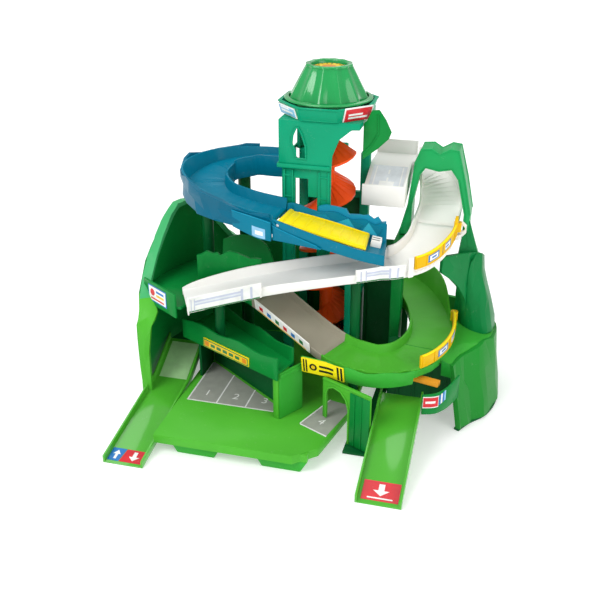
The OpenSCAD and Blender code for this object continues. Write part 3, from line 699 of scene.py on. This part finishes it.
def garage_sign():
    """Plain bars and end blocks on the sign board along the garage eave."""
    board_out = 3.05
    face = lambda u, v, lift: SIGN_FACE(u, v, lift + board_out)
    parts = [patch(face, INK["green"], 40.8, 0.8, 117.2, 11.2), patch(face, INK["sun"], 42, 2, 116, 10, SECOND)]
    parts += [patch(face, INK["orange"], u, 3, u + 6.5, 9, THIRD) for u in (43.5, 108)]
    for k in range(5):
        parts.append(patch(face, INK["green"], 53.5 + 10.6 * k, 4, 61 + 10.6 * k, 8, THIRD))
    finished("garage_sign_print", parts, "track")


# Lift and thickness of the films of a print on a curved wall, from the lowest to the top one
RAIL_FILM = ((0.05, 0.2), (0.2, 0.15), (0.34, 0.12))
BOARD_FILM = ((0.05, 0.25), (0.28, 0.15), (0.42, 0.12))


def rail_print(name, face, first, last, low, high):
    """White guard rail sheet: a lilac beam with posts and a green verge."""
    tall, n = high - low, 24
    at = lambda k: first + (last - first) * k
    up = lambda k: low + tall * k
    parts = [patch(face, INK["white"], at(0.02), low + 0.6, at(0.98), high - 0.6, *RAIL_FILM[0], n),
             patch(face, INK["green"], at(0.02), low + 0.6, at(0.98), low + 2.2, *RAIL_FILM[1], n),
             patch(face, INK["lilac"], at(0.2), up(0.42), at(0.8), up(0.74), *RAIL_FILM[1], n),
             patch(face, INK["pale"], at(0.22), up(0.52), at(0.78), up(0.62), *RAIL_FILM[2], n)]
    for k in (0.1, 0.2, 0.78, 0.88):
        parts.append(patch(face, INK["lilac"], at(k), low + 1.8, at(k + 0.025), up(0.86), *RAIL_FILM[2]))
    finished(name, parts, "track")


def rail_end():
    """Ivory rail from the left panel on to the end of the white road, with an end post."""
    parts = [block(WHITE_LEFT, PLASTIC["ivory"], 78, -7, 83.7, 14, -2.2, 0.03, 0.4, 10),
             block(WHITE_LEFT, PLASTIC["ivory"], 83.2, -9, 83.9, 14.6, -3, 1.2, 0.5)]
    finished("rail_end", parts, "track")


def guard_print(name, face, body, first, last):
    """Two blue-framed white signs on a yellow guard, each with a blue bar."""
    parts = []
    width = (last - first) * 0.42
    for s in (first, last - width):
        parts += [patch(face, INK["blue"], s, 5, s + width, 13.4, *BOARD_FILM[0], 6),
                  patch(face, INK["white"], s + width * 0.12, 6.2, s + width * 0.88, 12.2, *BOARD_FILM[1], 6),
                  patch(face, INK["blue"], s + width * 0.3, 8.2, s + width * 0.7, 10.2, *BOARD_FILM[2], 4)]
    finished(name, parts, body)


def sill_print():
    """Route board on the landing's sill: white sheet, blue frame, a red spot and three bars."""
    sill_out = 1.25
    face = lambda u, v, lift: SILL_FACE(u, v, lift + sill_out)
    parts = [patch(face, INK["blue"], 10, 6, 48, 27), patch(face, INK["white"], 11.4, 7.4, 46.6, 25.6, SECOND),
             cutout(face, INK["red"], circle_outline(19, 18.4, 4.6), THIRD)]
    for tone, u, low, high in (("blue", 27, 19.6, 22.4), ("sun", 27, 14.6, 17.4), ("red", 15, 9.4, 11.4)):
        parts.append(patch(face, INK[tone], u, low, 43, high, THIRD))
    finished("sill_print", parts, "track")


def fascia_face(u, v, lift):
    """Front of the garage fascia: u in stations, v above its lower edge."""
    return beside(FASCIA_WAY, u, -1.2 - lift, v)


def fascia_print():
    """Red exit board with a white border, and blue and white stripes beside it."""
    parts = [patch(fascia_face, INK["white"], 0.6, 9, 7.2, 24, *BOARD_FILM[0], 10),
             patch(fascia_face, INK["red"], 0.85, 10.2, 6.95, 22.8, *BOARD_FILM[1], 10),
             patch(fascia_face, INK["white"], 2, 15, 5.8, 18, *BOARD_FILM[2], 6)]
    for k, tone in enumerate(("blue", "white", "blue", "sky")):
        u = 7.5 + 0.8 * k
        parts.append(patch(fascia_face, INK[tone], u, 11 + k, u + 0.7, 24 + k, *BOARD_FILM[0], 2))
    finished("exit_board_print", parts, "track")


COLLAR_FOOT_R, COLLAR_HEAD_R, COLLAR_FOOT_Z, COLLAR_HEAD_Z = 54, 60, 354, 370


def collar_signs():
    """Red board with a white border on the collar's right front face, and a pale blue one on the left."""
    flat = math.cos(math.pi / 8)
    for name, turn, tone, low, high, a0 in (("collar_board", -45, "red", -1, 18, 7),
                                            ("collar_board_left", -135, "sky", 1, 14, -3)):
        a = math.radians(turn)
        out = Vector((math.cos(a), math.sin(a), 0))
        foot = out * COLLAR_FOOT_R * flat + Vector((0, 0, COLLAR_FOOT_Z))
        head = out * COLLAR_HEAD_R * flat + Vector((0, 0, COLLAR_HEAD_Z))
        along = Vector((-out.y, out.x, 0))
        face = plane_at(foot - along * 20, along, head - foot)
        parts = [block(face, INK["white"], a0, low, a0 + 38, high, 0.1, 1.5),
                 patch(face, INK[tone], a0 + 1.4, low + 1.4, a0 + 36.6, high - 1.4, 1.52, 0.2),
                 patch(face, INK["white"], a0 + 6, low + 5, a0 + 32, low + 7.4, 1.7, 0.12),
                 patch(face, INK["white"], a0 + 6, low + 9, a0 + 25, low + 11.4, 1.7, 0.12)]
        finished(name, parts, "track")


def cap_label():
    """Dark ring and plain dial ticks on the yellow disc in the top of the cap."""
    face, outer, ticks = level(406.6), 16.4, 16
    parts = [cutout(face, INK[tone], circle_outline(0, 0, r, 48), lift)
             for tone, r, lift in (("black", 19.4, SHEET), ("sun", 17.6, SECOND), ("orange", 8, THIRD))]
    for k in range(ticks):
        a, inner = math.tau * k / ticks, 13.6 - 2.4 * (k % 4 == 0)
        tick = [(r * math.cos(a + t), r * math.sin(a + t)) for r, t in
                ((inner, -0.05), (outer, -0.04), (outer, 0.04), (inner, 0.05))]
        parts.append(cutout(face, INK["black"], tick, THIRD))
    finished("cap_label", parts, "lift")


def loop_edge():
    """Wavy lip along the loop's outer edge and a seam across its floor."""
    top = lambda u: 3.6 - (u - 30) / 6 + 0.6 * math.sin(3.1 * u) + 0.5 * math.sin(1.3 * u + 1)
    wall = lambda u, v, lift: beside(GREEN_WAY, u, -HALF - lift, v * top(u))
    seam = [beside(GREEN_WAY, 51.4 + 0.05 * k, 22 - 2.2 * k, 0.05) for k in range(21)]
    parts = [block(wall, PLASTIC["light_green"], 33.4, -0.4, 46.6, 1, -2, 0.3, 0.35, 80),
             bead("seam", seam, 0.35, PLASTIC["rock_green"])]
    finished("loop_lip", parts, "track", 50)


# Rock walls

LEFT_SHELL = WallFace([(-199.8, -138, 0, 112, 0), (-204, -104, 0, 160, 0), (-202, -62, 0, 200, 0),
                       (-190, -24, 0, 232, 0), (-166, 8, 0, 214, 0), (-136, 34, 0, 168, 0),
                       (-98, 54, 0, 162, 0), (-50, 62, 0, 160, 0)], 1)
RIGHT_ROCK = WallFace([(187, -98, 3, 84, 16), (198, -78, 3, 88, 20), (217, -52, 3, 92, 20), (226, -14, 3, 92, 12),
                       (222, 30, 3, 86, 8), (200, 74, 3, 84, 6), (160, 104, 3, 84, 6), (104, 116, 3, 84, 4)], -1)
RIGHT_LEG = WallFace([(148, -40, 180, 201, 0), (166, -22, 158, 199, 0), (176, -5.5, 124, 196, -2),
                      (184, 8, 3, 192, -4), (188, 34, 3, 178, 0), (181, 64, 3, 166, 0)], -1, 3)
LEG_FOOT = way([(166.5, 13, 88), (179, -4, 90), (197, -13, 91), (211, -8, 92), (214, 24, 87), (198, 62, 84)])
LEG_BROW = way([(167, 11, 146), (178.5, -8, 178), (185.5, -2, 193), (191.5, 9, 190), (192, 26, 181),
                (184.5, 63, 165)])
INNER_WALL = WallFace([(-141, -88, 147.3, 189, 0), (-126, -83, 147.3, 197, 0), (-113, -81.2, 147.3, 194, 0),
                       (-98, -80, 147.3, 200, 0), (-82, -77.4, 147.3, 193, 0), (-64, -72.6, 147.3, 188, 0)],
                      -1, 0, 2.6)


class ShoulderFace:
    """Slope from under the lower guard out to the right rock's top; u along the road, v outwards."""
    span = (0, 1)

    def __call__(self, u, v, lift):
        road = beside(GREEN_WAY, 50.5 + 13 * u, -HALF - 0.6, -2.6)
        return road.lerp(RIGHT_ROCK(24.6 * max(u, 0), 1, -1.5), v) + Vector((0, 0, lift))


class ArchFootFace:
    """Wall between the tunnel arch's right foot and the right leg's top."""
    span = (0, 1)

    def __call__(self, u, v, lift):
        foot = RIGHT_LEG(18 + 7 * u, 0.96, 0)
        return foot.lerp(Vector((174, 3 + 30 * u, 218)), v) + Vector((lift, 0, 0))


class NeckFace:
    """Front of the neck between the tunnel arch's right foot and the right leg; u to the right, v upwards."""
    span = (0, 1)

    def __call__(self, u, v, lift):
        foot = Vector((165 + 25 * u, -9 + 16 * u, 189 - 6 * u))
        return foot.lerp(Vector((168 + 7.5 * u, 3, 218 + 14 * u)), v) + Vector((0.3 * lift, -lift, 0))


class CheekFace:
    """Front of the right rock between its first edge and the loop's skirt; u to the right, v upwards."""
    span = (0, 1)

    def __call__(self, u, v, lift):
        left = Vector((163, -95, 72 + 20 * v))
        return left.lerp(RIGHT_ROCK(0.3, 0.8 + 0.2 * v, -1.5), u) + Vector((0, -lift, 0))


class FlareFace:
    """Flared foot of the right leg, from the rock's top up to the leg's brow; u to the right, v upwards."""
    span = (0, len(LEG_FOOT) - 1)

    def __call__(self, u, v, lift):
        foot, brow = beside(LEG_FOOT, u, -lift, 0), beside(LEG_BROW, u, -lift, 0)
        place = foot.lerp(brow, v * v * (3 - 2 * v))
        place.z = foot.z + (brow.z - foot.z) * v
        return place


def rock_walls():
    """The hollow hill's broken rock faces, with a broad lip on the left shell and a shoulder on the right rock."""
    pale_below = 142
    wall = rock_skin("left_shell", LEFT_SHELL, 17, 7, (0.2, 5), 3, (PLASTIC["mid_green"], PLASTIC["light_green"]),
                     3, pale_below, 0.6)
    # The lip's upper faces take the pale rim green, which partly paints the highlight along the shell's rim.
    lip = rock_skin("lip", RimFace(LEFT_SHELL, 30, 12, 12), 26, 2, (0.8, 5), 2.5,
                    (PLASTIC["rim_highlight_green"], PLASTIC["light_green"]), 12, pale_below, 0.6)
    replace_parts(finished("left_shell", [wall, lip], "track", 18), "left_mountain")
    wall = rock_skin("right_rock_face", RIGHT_ROCK, 19, 3, (0.2, 5), 3, (PLASTIC["rock_green"],), 8, 0, 0.6, 0.04)
    # The shoulder takes the lighter loop green, not the rock's green: painted light, so that this less-lit slope
    # looks as bright as a lit rock face.
    shoulder = rock_skin("shoulder", ShoulderFace(), 9, 3, (-2, 0.8), 2.5, (PLASTIC["loop_green"],), 14, 0, 0.5)
    cheek = rock_skin("cheek", CheekFace(), 3, 2, (0, 1.6), 2, (PLASTIC["rock_green"],), 15, 0, 0.4)
    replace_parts(finished("right_rock_face", [wall, shoulder, cheek], "track", 18), "right_rock")
    wall = rock_skin("right_leg_face", RIGHT_LEG, 9, 5, (0.2, 4), 3, (PLASTIC["leg_green"],), 5, 0, 0.5)
    foot = rock_skin("foot", FlareFace(), 13, 5, (0.2, 3.4), 2, (PLASTIC["leg_green"],), 16, 0, 0.5)
    neck = rock_skin("neck", ArchFootFace(), 3, 2, (0, 1.6), 3, (PLASTIC["arch_green"],), 17, 0, 0.5)
    front = rock_skin("front", NeckFace(), 4, 2, (0, 1.6), 2, (PLASTIC["leg_green"],), 18, 0, 0.4)
    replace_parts(finished("right_leg_face", [wall, foot, neck, front], "track", 18), "right_leg")
    wall = rock_skin("inner_rock", INNER_WALL, 12, 3, (0.1, 2.4), 2.6, (PLASTIC["mid_green"],), 11, 0, 0.4, 0.12)
    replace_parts(finished("inner_rock", [wall], "track", 18), "inner_wall")


def blue_rocks():
    """Broken rock on the outside of the blue loop, and blue crystals behind the bridge."""
    outside = KerbFace(LOOP_WAY, -1, 13, 41.6, -13, 1.2)
    wall = rock_skin("loop_rock", outside, 17, 3, (0.8, 8), -0.02, (PLASTIC["cliff_blue"],), 4, 0, 0.5, 0.3)
    finished("loop_rock", [wall], "track", 18)
    behind = KerbFace(RUN_WAY, 1, 4, 17.6, -5.5, 6, 1.2)
    wall = rock_skin("bridge_rocks", behind, 11, 3, (0.2, 5), 0.6, (PLASTIC["rock_blue"],), 6, 0, 0.4, 0.3)
    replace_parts(finished("bridge_rocks", [wall], "track", 18), "blue_rocks")


# Moulded details

class StepFace:
    """Raised step on the blue road's front between two lines of heights; v goes from the lower to the upper."""

    def __init__(self, line, low, high, out):
        self.line, self.low, self.high, self.out = line, low, high, out

    def __call__(self, u, v, lift):
        low, high = self.low(u), self.high(u)
        rise = low + (high - low) * v
        return beside(self.line, u, -(HALF + self.out + FLARE * max(rise, 0) + lift), rise)


def blue_front():
    """Raised step with a light edge and a small pale sheet on the blue road's front; slotted stop, and flat rock
    facets with painted light and shade.
    """
    first, run_first = 36.4, 0.05
    step = StepFace(LOOP_WAY, lambda u: -13.4 - 8 * min((u - first) / 3, 1), lambda u: 7 - 1.1 * (u - first), 3.6)
    run = StepFace(RUN_WAY, lambda u: -15 + 0.75 * u, lambda u: 3 - 1.9 * u, 0)
    parts = [block(step, PLASTIC["road_blue"], first, 0, 41.9, 1, -3.5, 2, 0.5, 12, 2),
             block(run, PLASTIC["road_blue"], run_first, 0, 6, 1, 0.02, 2, 0.5, 8, 2)]
    parts += [bead("edge", [face(u + 0.5 * k, 1, 1.6) for k in range(12)], 0.7, PLASTIC["rock_blue"])
              for face, u in ((step, first), (run, run_first))]
    parts += [patch(step, INK["sky"], 38.8, 0.06, 40.7, 0.56, 2.02, 0.2, 4),
              patch(step, INK["white"], 39.2, 0.2, 40.3, 0.4, 2.24, 0.12, 4)]
    finished("blue_step", parts, "track")
    strip = lambda u, v, lift: beside(RUN_WAY, u, v, 0.02 + lift)
    parts = [block(strip, INK["white"], 6, -22.7, 12.4, -22.1, 0, 2.6, 0.2, 10),
             block(strip, INK["black"], 13.6, 0, 15.6, 15, 0, 7.2, 0.3, 3, 3)]
    parts += [block(strip, PLASTIC["ivory"], 13.5, side, 16, side + 3, 0, 8, 0.5, 4) for side in (-0.4, 6, 12.4)]
    parts.append(block(strip, PLASTIC["ivory"], 15.6, -0.4, 16.1, 15.4, 0, 8, 0.5, 1, 3))
    finished("bridge_stop", parts, "track")
    inner = lambda u, v, lift: beside(RUN_WAY, u, 23 + FLARE * v - lift, v)
    # Each crystal is two flat facets on one plane: the pale crystal blue half paints its lit side and the road blue
    # half its shaded side.
    parts = [cutout(inner, PLASTIC[tone], facet, 0.3, 0.5) for tone, facet in (
        ("crystal_lit_blue", [(6.2, 4), (10.2, 4), (8.6, 15)]), ("road_blue", [(10.2, 4), (11.4, 13), (8.6, 15)]),
        ("crystal_lit_blue", [(11, 4), (15, 5), (12.6, 17.6)]), ("road_blue", [(15, 5), (16.4, 15), (12.6, 17.6)]),
        ("rock_blue", [(2.6, 4), (6.2, 4), (5, 11.6)]))]
    finished("blue_facets", parts, "track", 20)


def bridge_ribs():
    """Cross ribs and a raised edge on the bridge plate."""
    top = lambda u, v, lift: beside(RUN_WAY, u, v, 6.2 + lift)
    parts = [block(top, PLASTIC["yellow"], 2.2 + 1.45 * k, -18, 2.5 + 1.45 * k, 18, 0.02, 0.4, 0.15, 1, 4)
             for k in range(8)]
    for side in (-20.6, 19.2):
        parts.append(block(top, PLASTIC["yellow"], 2, side, 12.8, side + 1.4, 0.02, 1.2, 0.3, 18))
    finished("bridge_ribs", parts, "bridge")


def tower_details():
    """Flange under the cap, bead round the collar, ledge and ribs on the tower's front."""
    rings = {"foot": [(47, 370.8), (51.8, 370.8), (52.4, 371.8), (51.4, 373), (47, 374)],
             "crown": [(21.4, 408.6), (26.2, 407.4), (27.6, 408.8), (27, 410.6), (24.4, 411.4), (21.8, 410.4)]}
    foot, crown = (turned(name, profile, PLASTIC["cap_green"], 96) for name, profile in rings.items())
    for point in crown.data.vertices:
        swell = 1 + 0.03 * math.cos(12 * math.atan2(point.co.y, point.co.x)) * (point.co.xy.length > 0.024)
        point.co.x, point.co.y = point.co.x * swell, point.co.y * swell
    finished("cap_rings", [foot, crown], "lift")
    tone = PLASTIC["tower_green"]
    parts = []
    for name, r, z, thick in (("rim", 59.4, 369.2, 1.1), ("foot", COLLAR_FOOT_R, 354.6, 0.7)):
        corners = [Vector((r * math.cos(a), r * math.sin(a), z)) for a in
                   (math.radians(22.5 + 45 * k) for k in range(8))]
        parts.append(bead(name, corners, thick, tone, True))
    finished("collar_beads", parts, "track", 45)
    front, panel = upright(-48), upright(-45.01)
    left = plane_at((-48, 0, 0), (0, -1, 0), (0, 0, 1))
    parts = [block(face, tone, a, 297, b, 302, 0.02, 2.2, 0.7) for face, a, b in ((front, -50, 14), (left, -47, 47))]
    for u in (-43, -33, -0.6, 10.6):
        parts.append(block(panel, tone, u, 152, u + 2.2, 294, 0.02, 1.5, 0.5))
    for z in (176, 204, 232, 260, 286):
        parts += [block(panel, tone, a, z, b, z + 2, 0.02, 1.1, 0.4) for a, b in ((-42.6, -31), (-0.4, 12))]
    window = [(-27, 309), (-15, 309), (-15.5, 324), (-20, 338), (-24, 346), (-27, 345), (-31, 336), (-32, 326),
              (-28, 318)]
    parts.append(bead("window", [front(u, v, 0.3) for u, v in window], 1.3, tone, True))
    finished("tower_ribs", parts, "track")


def guard_details():
    """Rounded top edges, seams and end posts on the yellow guards; ribbed ivory skirt and wavy green skirt."""
    # Faces, feet and seams in amber under a yellow top bead: a darker copy of one yellow that paints the shade on
    # the guards' faces.
    tone, steps, low = PLASTIC["amber"], 30, 2.4
    for body, face, first, last in (("upper_guard", UPPER_GUARD, 26.6, 38.8),
                                    ("lower_guard", LOWER_GUARD, 47.2, 59.4)):
        at = lambda k: first + (last - first) * k / steps
        parts = [bead("top", [face(at(k), 16.6, -0.9) for k in range(steps + 1)], 1.3, PLASTIC["yellow"]),
                 bead("foot", [face(at(k), low, -0.4) for k in range(steps + 1)], 0.8, tone)]
        for k in (0.4, 5.2, 14.6, 15.4, 24.8, 29.6):
            parts.append(block(face, tone, at(k) - 0.12, low, at(k) + 0.12, 16, 0.02, 0.9, 0.25))
        if body == "upper_guard":
            parts.append(block(face, tone, 26.75, low, 27.7, 25, -2.6, 0.95, 0.4))
        finished(body + "_edges", parts, body)
    skirt, tone = KerbFace(WHITE_WAY, 1, 26, 40, -6.6, -2.4), PLASTIC["ivory"]
    parts = [patch(skirt, tone, 26.6, 0, 40, 1, 0.02, 0.9, 26)]
    parts += [block(skirt, tone, 27.4 + 0.9 * k, 0.3, 27.8 + 0.9 * k, 0.8, 0.9, 1.5, 0.2) for k in range(14)]
    parts.append(block(UPPER_GUARD, tone, 39.35, -6, 40.4, 17.5, -2.8, 1.6, 0.6))
    finished("white_curve_skirt", parts, "track")
    skirt = KerbFace(GREEN_WAY, -1, 44, 62, -10.4, -1)
    wall = rock_skin("loop_skirt", skirt, 22, 2, (0.4, 2.6), -0.02, (PLASTIC["loop_green"],), 9, 0, 0.4, 0.2)
    finished("loop_skirt", [wall], "track", 18)


def inner_panels():
    """Dark panels that close the tower's lower back and side, the core and the right garage; the garage wing."""
    tone, foot = PLASTIC["dark_green"], DECK_TOP + 0.2
    back, core, garage = upright(43.4), upright(26), upright(-43)
    right = plane_at((43, 0, 0), (0, 1, 0), (0, 0, 1))
    parts = [block(back, tone, -35, foot, 35, 236, -1, 1, 0.4), block(right, tone, -35, foot, 35, 120, -1, 1, 0.4)]
    for z in (60, 100, 150, 190):
        parts.append(block(back, tone, -34, z, 34, z + 3, 0.9, 2.2, 0.4))
    parts += [block(core, tone, a, foot, b, top, -1, 1, 0.4) for a, b, top in ((44.8, 51, 183), (85, 94, 187))]
    parts.append(block(garage, tone, 92, 0.3, 172, 88, -1, 1, 0.5))
    for x in (104, 124, 144, 164):
        parts.append(block(garage, tone, x, 0.4, x + 3, 87, 0.9, 2.4, 0.4))
    finished("inner_panels", parts, "track")
    wing = plane_at((-15, -166, DECK_TOP), (20, 33, 0), (0, 0, 1))
    tone = PLASTIC["loop_green"]
    parts = [block(wing, tone, 0, 0.1, 37, 62, -3, 0, 0.6), block(wing, tone, 0.5, 55, 36.5, 60, -0.1, 1.2, 0.4)]
    finished("garage_wing", parts, "track")


def collar_leaf():
    """Leaf-shaped wing beside the tower, with a raised rib."""
    face, tone = upright(-30), PLASTIC["mid_green"]
    outline = [(48.3, 308), (56, 314), (66, 322), (78, 334), (81, 342), (74, 356), (66, 367), (57.5, 366), (52, 354),
               (48.3, 350)]
    leaf = cutout(face, tone, outline, -3, 3)
    round_edges(leaf, 0.8)
    rib = bead("rib", [face(*p, 0.2) for p in ((49, 316), (58, 326), (66, 340), (65, 362))], 1.1, tone)
    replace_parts(finished("collar_leaf", [leaf, rib], "track"), "collar_wing")


def guard_bracket():
    """Ivory bracket with a round hole at the upper guard's hinge end."""
    at = 25.2
    foot = beside(WHITE_WAY, at, HALF + 0.2, -6.8)
    face = plane_at(foot, beside(WHITE_WAY, at, 40, 0) - beside(WHITE_WAY, at, 20, 0), (0, 0, 1))
    plate = cutout(face, PLASTIC["ivory"], [(0, 0), (9, 0), (13, 5), (13, 15), (9, 19), (0, 19)], -1.2, 2.4)
    turn = face(0, 0, 1) - face(0, 0, 0)
    drill = start("cylinder", "drill", vertices=32, radius=0.003, depth=0.02)
    drill.rotation_euler = turn.to_track_quat("Z", "Y").to_euler()
    drill.location = face(8, 10.5, 0) * MM
    modify(plate, "BOOLEAN", operation="DIFFERENCE", object=drill, solver="EXACT")
    bpy.data.objects.remove(drill)
    round_edges(plate, 0.5)
    finished("guard_bracket", [plate], "track")


def arch_details():
    """Rounded rim on the handle arch's hole and a ribbed panel beside it; beads and a crease on the tunnel arch."""
    turn = math.radians(-26)
    panel = plane_at((32, -147, 0), (math.cos(turn), math.sin(turn), 0), (0, 0, 1))
    hole = [(5, 26.4), (5, 60), (8, 68), (16, 72), (26.9, 70), (34.9, 62), (38.9, 50), (38.9, 4)]
    top = [(u, 78.4) for u in (0.6, 20, 40, 60, 68)]
    parts = [bead(name, [panel(u, z, 0.2) for u, z in line], r, PLASTIC["light_green"])
             for name, line, r in (("hole", hole, 1.3), ("top", top, 1.2))]
    parts.append(block(panel, PLASTIC["mid_green"], 41.2, 4, 69.4, 75, 0.05, 1.2, 0.4))
    parts += [block(panel, PLASTIC["mid_green"], u, 5, u + 2, 74, 1.1, 2.3, 0.4) for u in (47, 57)]
    finished("handle_rim", parts, "track", 50)
    outline = [(90.6, 208), (100, 246), (106, 300), (112, 316), (124, 317), (134, 311), (146, 318), (156, 317),
               (166, 280), (174.6, 240)]
    inner = [(104, 212), (104, 246), (111, 284), (118, 294), (134, 291), (149, 294), (158, 282), (168, 240),
             (168, 216)]
    lines = {"front": ([(x, 2.4, z - 0.4) for x, z in outline], 1.0),
             "back": ([(x, 33.6, z - 0.4) for x, z in outline], 1.0),
             "crease": ([(134, 2 + 4 * k, 311) for k in range(9)], 0.9),
             "mouth": ([(x, 2.2, z) for x, z in inner], 0.9)}
    parts = [bead(name, line, r, PLASTIC["arch_green"]) for name, (line, r) in lines.items()]
    finished("tunnel_rim", parts, "track", 50)


def tray_print():
    """Pale sheet with white edge lines and marks on the summit tray."""
    slope = plane_at((48.3, -9.6, 262), (1, 0, 0), (0, 55.6, 22))
    parts = [patch(slope, INK["pale"], 2, 2, 44, 52)]
    marks = [(14, 10, 32, 22), (6, 4, 7.4, 50), (38.6, 4, 40, 50)]
    marks += [(22, 6 + 15 * k, 24, 14 + 15 * k) for k in range(3)]
    parts += [patch(slope, INK["white"], *mark, SECOND) for mark in marks]
    finished("tray_sheet", parts, "track")


def ramp_rail_print():
    """White sheet with small red, blue and green flashes on the grey ramp's rail."""
    parts = [patch(RAMP_RAIL, INK["white"], 19.3, -4.4, 27.7, 8.4, 0.05, 0.2, 16)]
    for k, tone in enumerate(("red", "blue", "green", "red", "blue", "green")):
        parts.append(patch(RAMP_RAIL, INK[tone], 19.9 + 1.3 * k, -1, 20.5 + 1.3 * k, 4.4, 0.24, 0.15))
    parts.append(patch(RAMP_RAIL, INK["sun"], 19.5, -4, 27.5, -2.6, 0.24, 0.15, 16))
    finished("ramp_rail_print", parts, "track")


rock_walls()
blue_rocks()
blue_front()
bridge_ribs()
tower_details()
guard_details()
arch_details()
inner_panels()
guard_bracket()
collar_leaf()
tray_print()
ramp_rail_print()
ramp_prints()
bay_prints()
hazard_print()
garage_sign()
rail_print("rail_print_right", WHITE_RIGHT, 41, 54, -6, 12)
rail_print("rail_print_left", WHITE_LEFT, 70, 83.7, -7, 14)
rail_end()
guard_print("upper_guard_print", UPPER_GUARD, "upper_guard", 30.5, 36.5)
guard_print("lower_guard_print", LOWER_GUARD, "lower_guard", 50, 56)
sill_print()
fascia_print()
collar_signs()
cap_label()
loop_edge()


# Stage, light and camera

def stage_floor():
    """Pale floor whose glow grows with the distance, so that it runs into the white background."""
    floor = start("plane", "stage_floor", size=24, location=(0, 0, -0.0002))
    made = bpy.data.materials.new("pale_floor")
    made.use_nodes = True
    tree = made.node_tree
    bsdf = tree.nodes["Principled BSDF"]
    for label, value in (("Base Color", (0.8, 0.8, 0.8, 1)), ("Emission Strength", 1.0), ("Roughness", 0.85)):
        bsdf.inputs[label].default_value = value
    reach = node(tree, "ShaderNodeVectorMath", operation="LENGTH")
    tree.links.new(node(tree, "ShaderNodeTexCoord").outputs["Object"], reach.inputs[0])
    near, far, near_glow, far_glow = 0.6, 2.6, 0.36, 0.9
    glow = remap(tree, reach.outputs["Value"], near, far, near_glow, far_glow)
    tree.links.new(glow, bsdf.inputs["Emission Color"])
    floor.data.materials.append(made)


def soft_light(name, place, aim, size, power):
    data = bpy.data.lights.new(name, "AREA")
    data.shape = "DISK"
    data.size = size
    data.energy = power
    lamp = bpy.data.objects.new(name, data)
    bpy.context.scene.collection.objects.link(lamp)
    lamp.location = place
    lamp.rotation_euler = (Vector(aim) - Vector(place)).to_track_quat("-Z", "Y").to_euler()


def studio():
    """Floor and soft light, and a background that is plain white to the camera."""
    stage_floor()
    middle = (0.0, -0.05, 0.15)
    soft_light("key_light", (-0.9, -1.3, 1.7), middle, 1.1, 22)
    soft_light("fill_light", (1.5, -1.0, 1.0), middle, 1.4, 12)
    soft_light("back_light", (0.3, 1.4, 1.6), middle, 1.2, 5)
    soft_light("top_light", (-0.35, 0.3, 1.6), (-0.05, -0.2, 0.0), 1.0, 6)
    world = bpy.data.worlds.new("studio")
    bpy.context.scene.world = world
    world.use_nodes = True
    tree = world.node_tree
    sky, seen = tree.nodes["Background"], node(tree, "ShaderNodeBackground")
    for shader, strength in ((sky, 0.58), (seen, 1.0)):
        shader.inputs["Color"].default_value = (1, 1, 1, 1)
        shader.inputs["Strength"].default_value = strength
    choose = node(tree, "ShaderNodeMixShader")
    seen_by = node(tree, "ShaderNodeLightPath").outputs["Is Camera Ray"]
    for source, socket in zip((seen_by, sky.outputs[0], seen.outputs[0]), choose.inputs):
        tree.links.new(source, socket)
    tree.links.new(choose.outputs[0], tree.nodes["World Output"].inputs["Surface"])
    bpy.context.scene.view_settings.view_transform = "Standard"


def photo_camera():
    """Camera at the photograph's viewing angle."""
    data = bpy.data.cameras.new("camera")
    data.sensor_width = 36
    data.lens = 54
    camera = bpy.data.objects.new("camera", data)
    bpy.context.scene.collection.objects.link(camera)
    camera.location = (0.2401, -1.0267, 0.620)
    camera.rotation_euler = Vector((-0.2326, 0.8682, -0.4384)).to_track_quat("-Z", "Y").to_euler()
    bpy.context.scene.camera = camera


photo_camera()
studio()
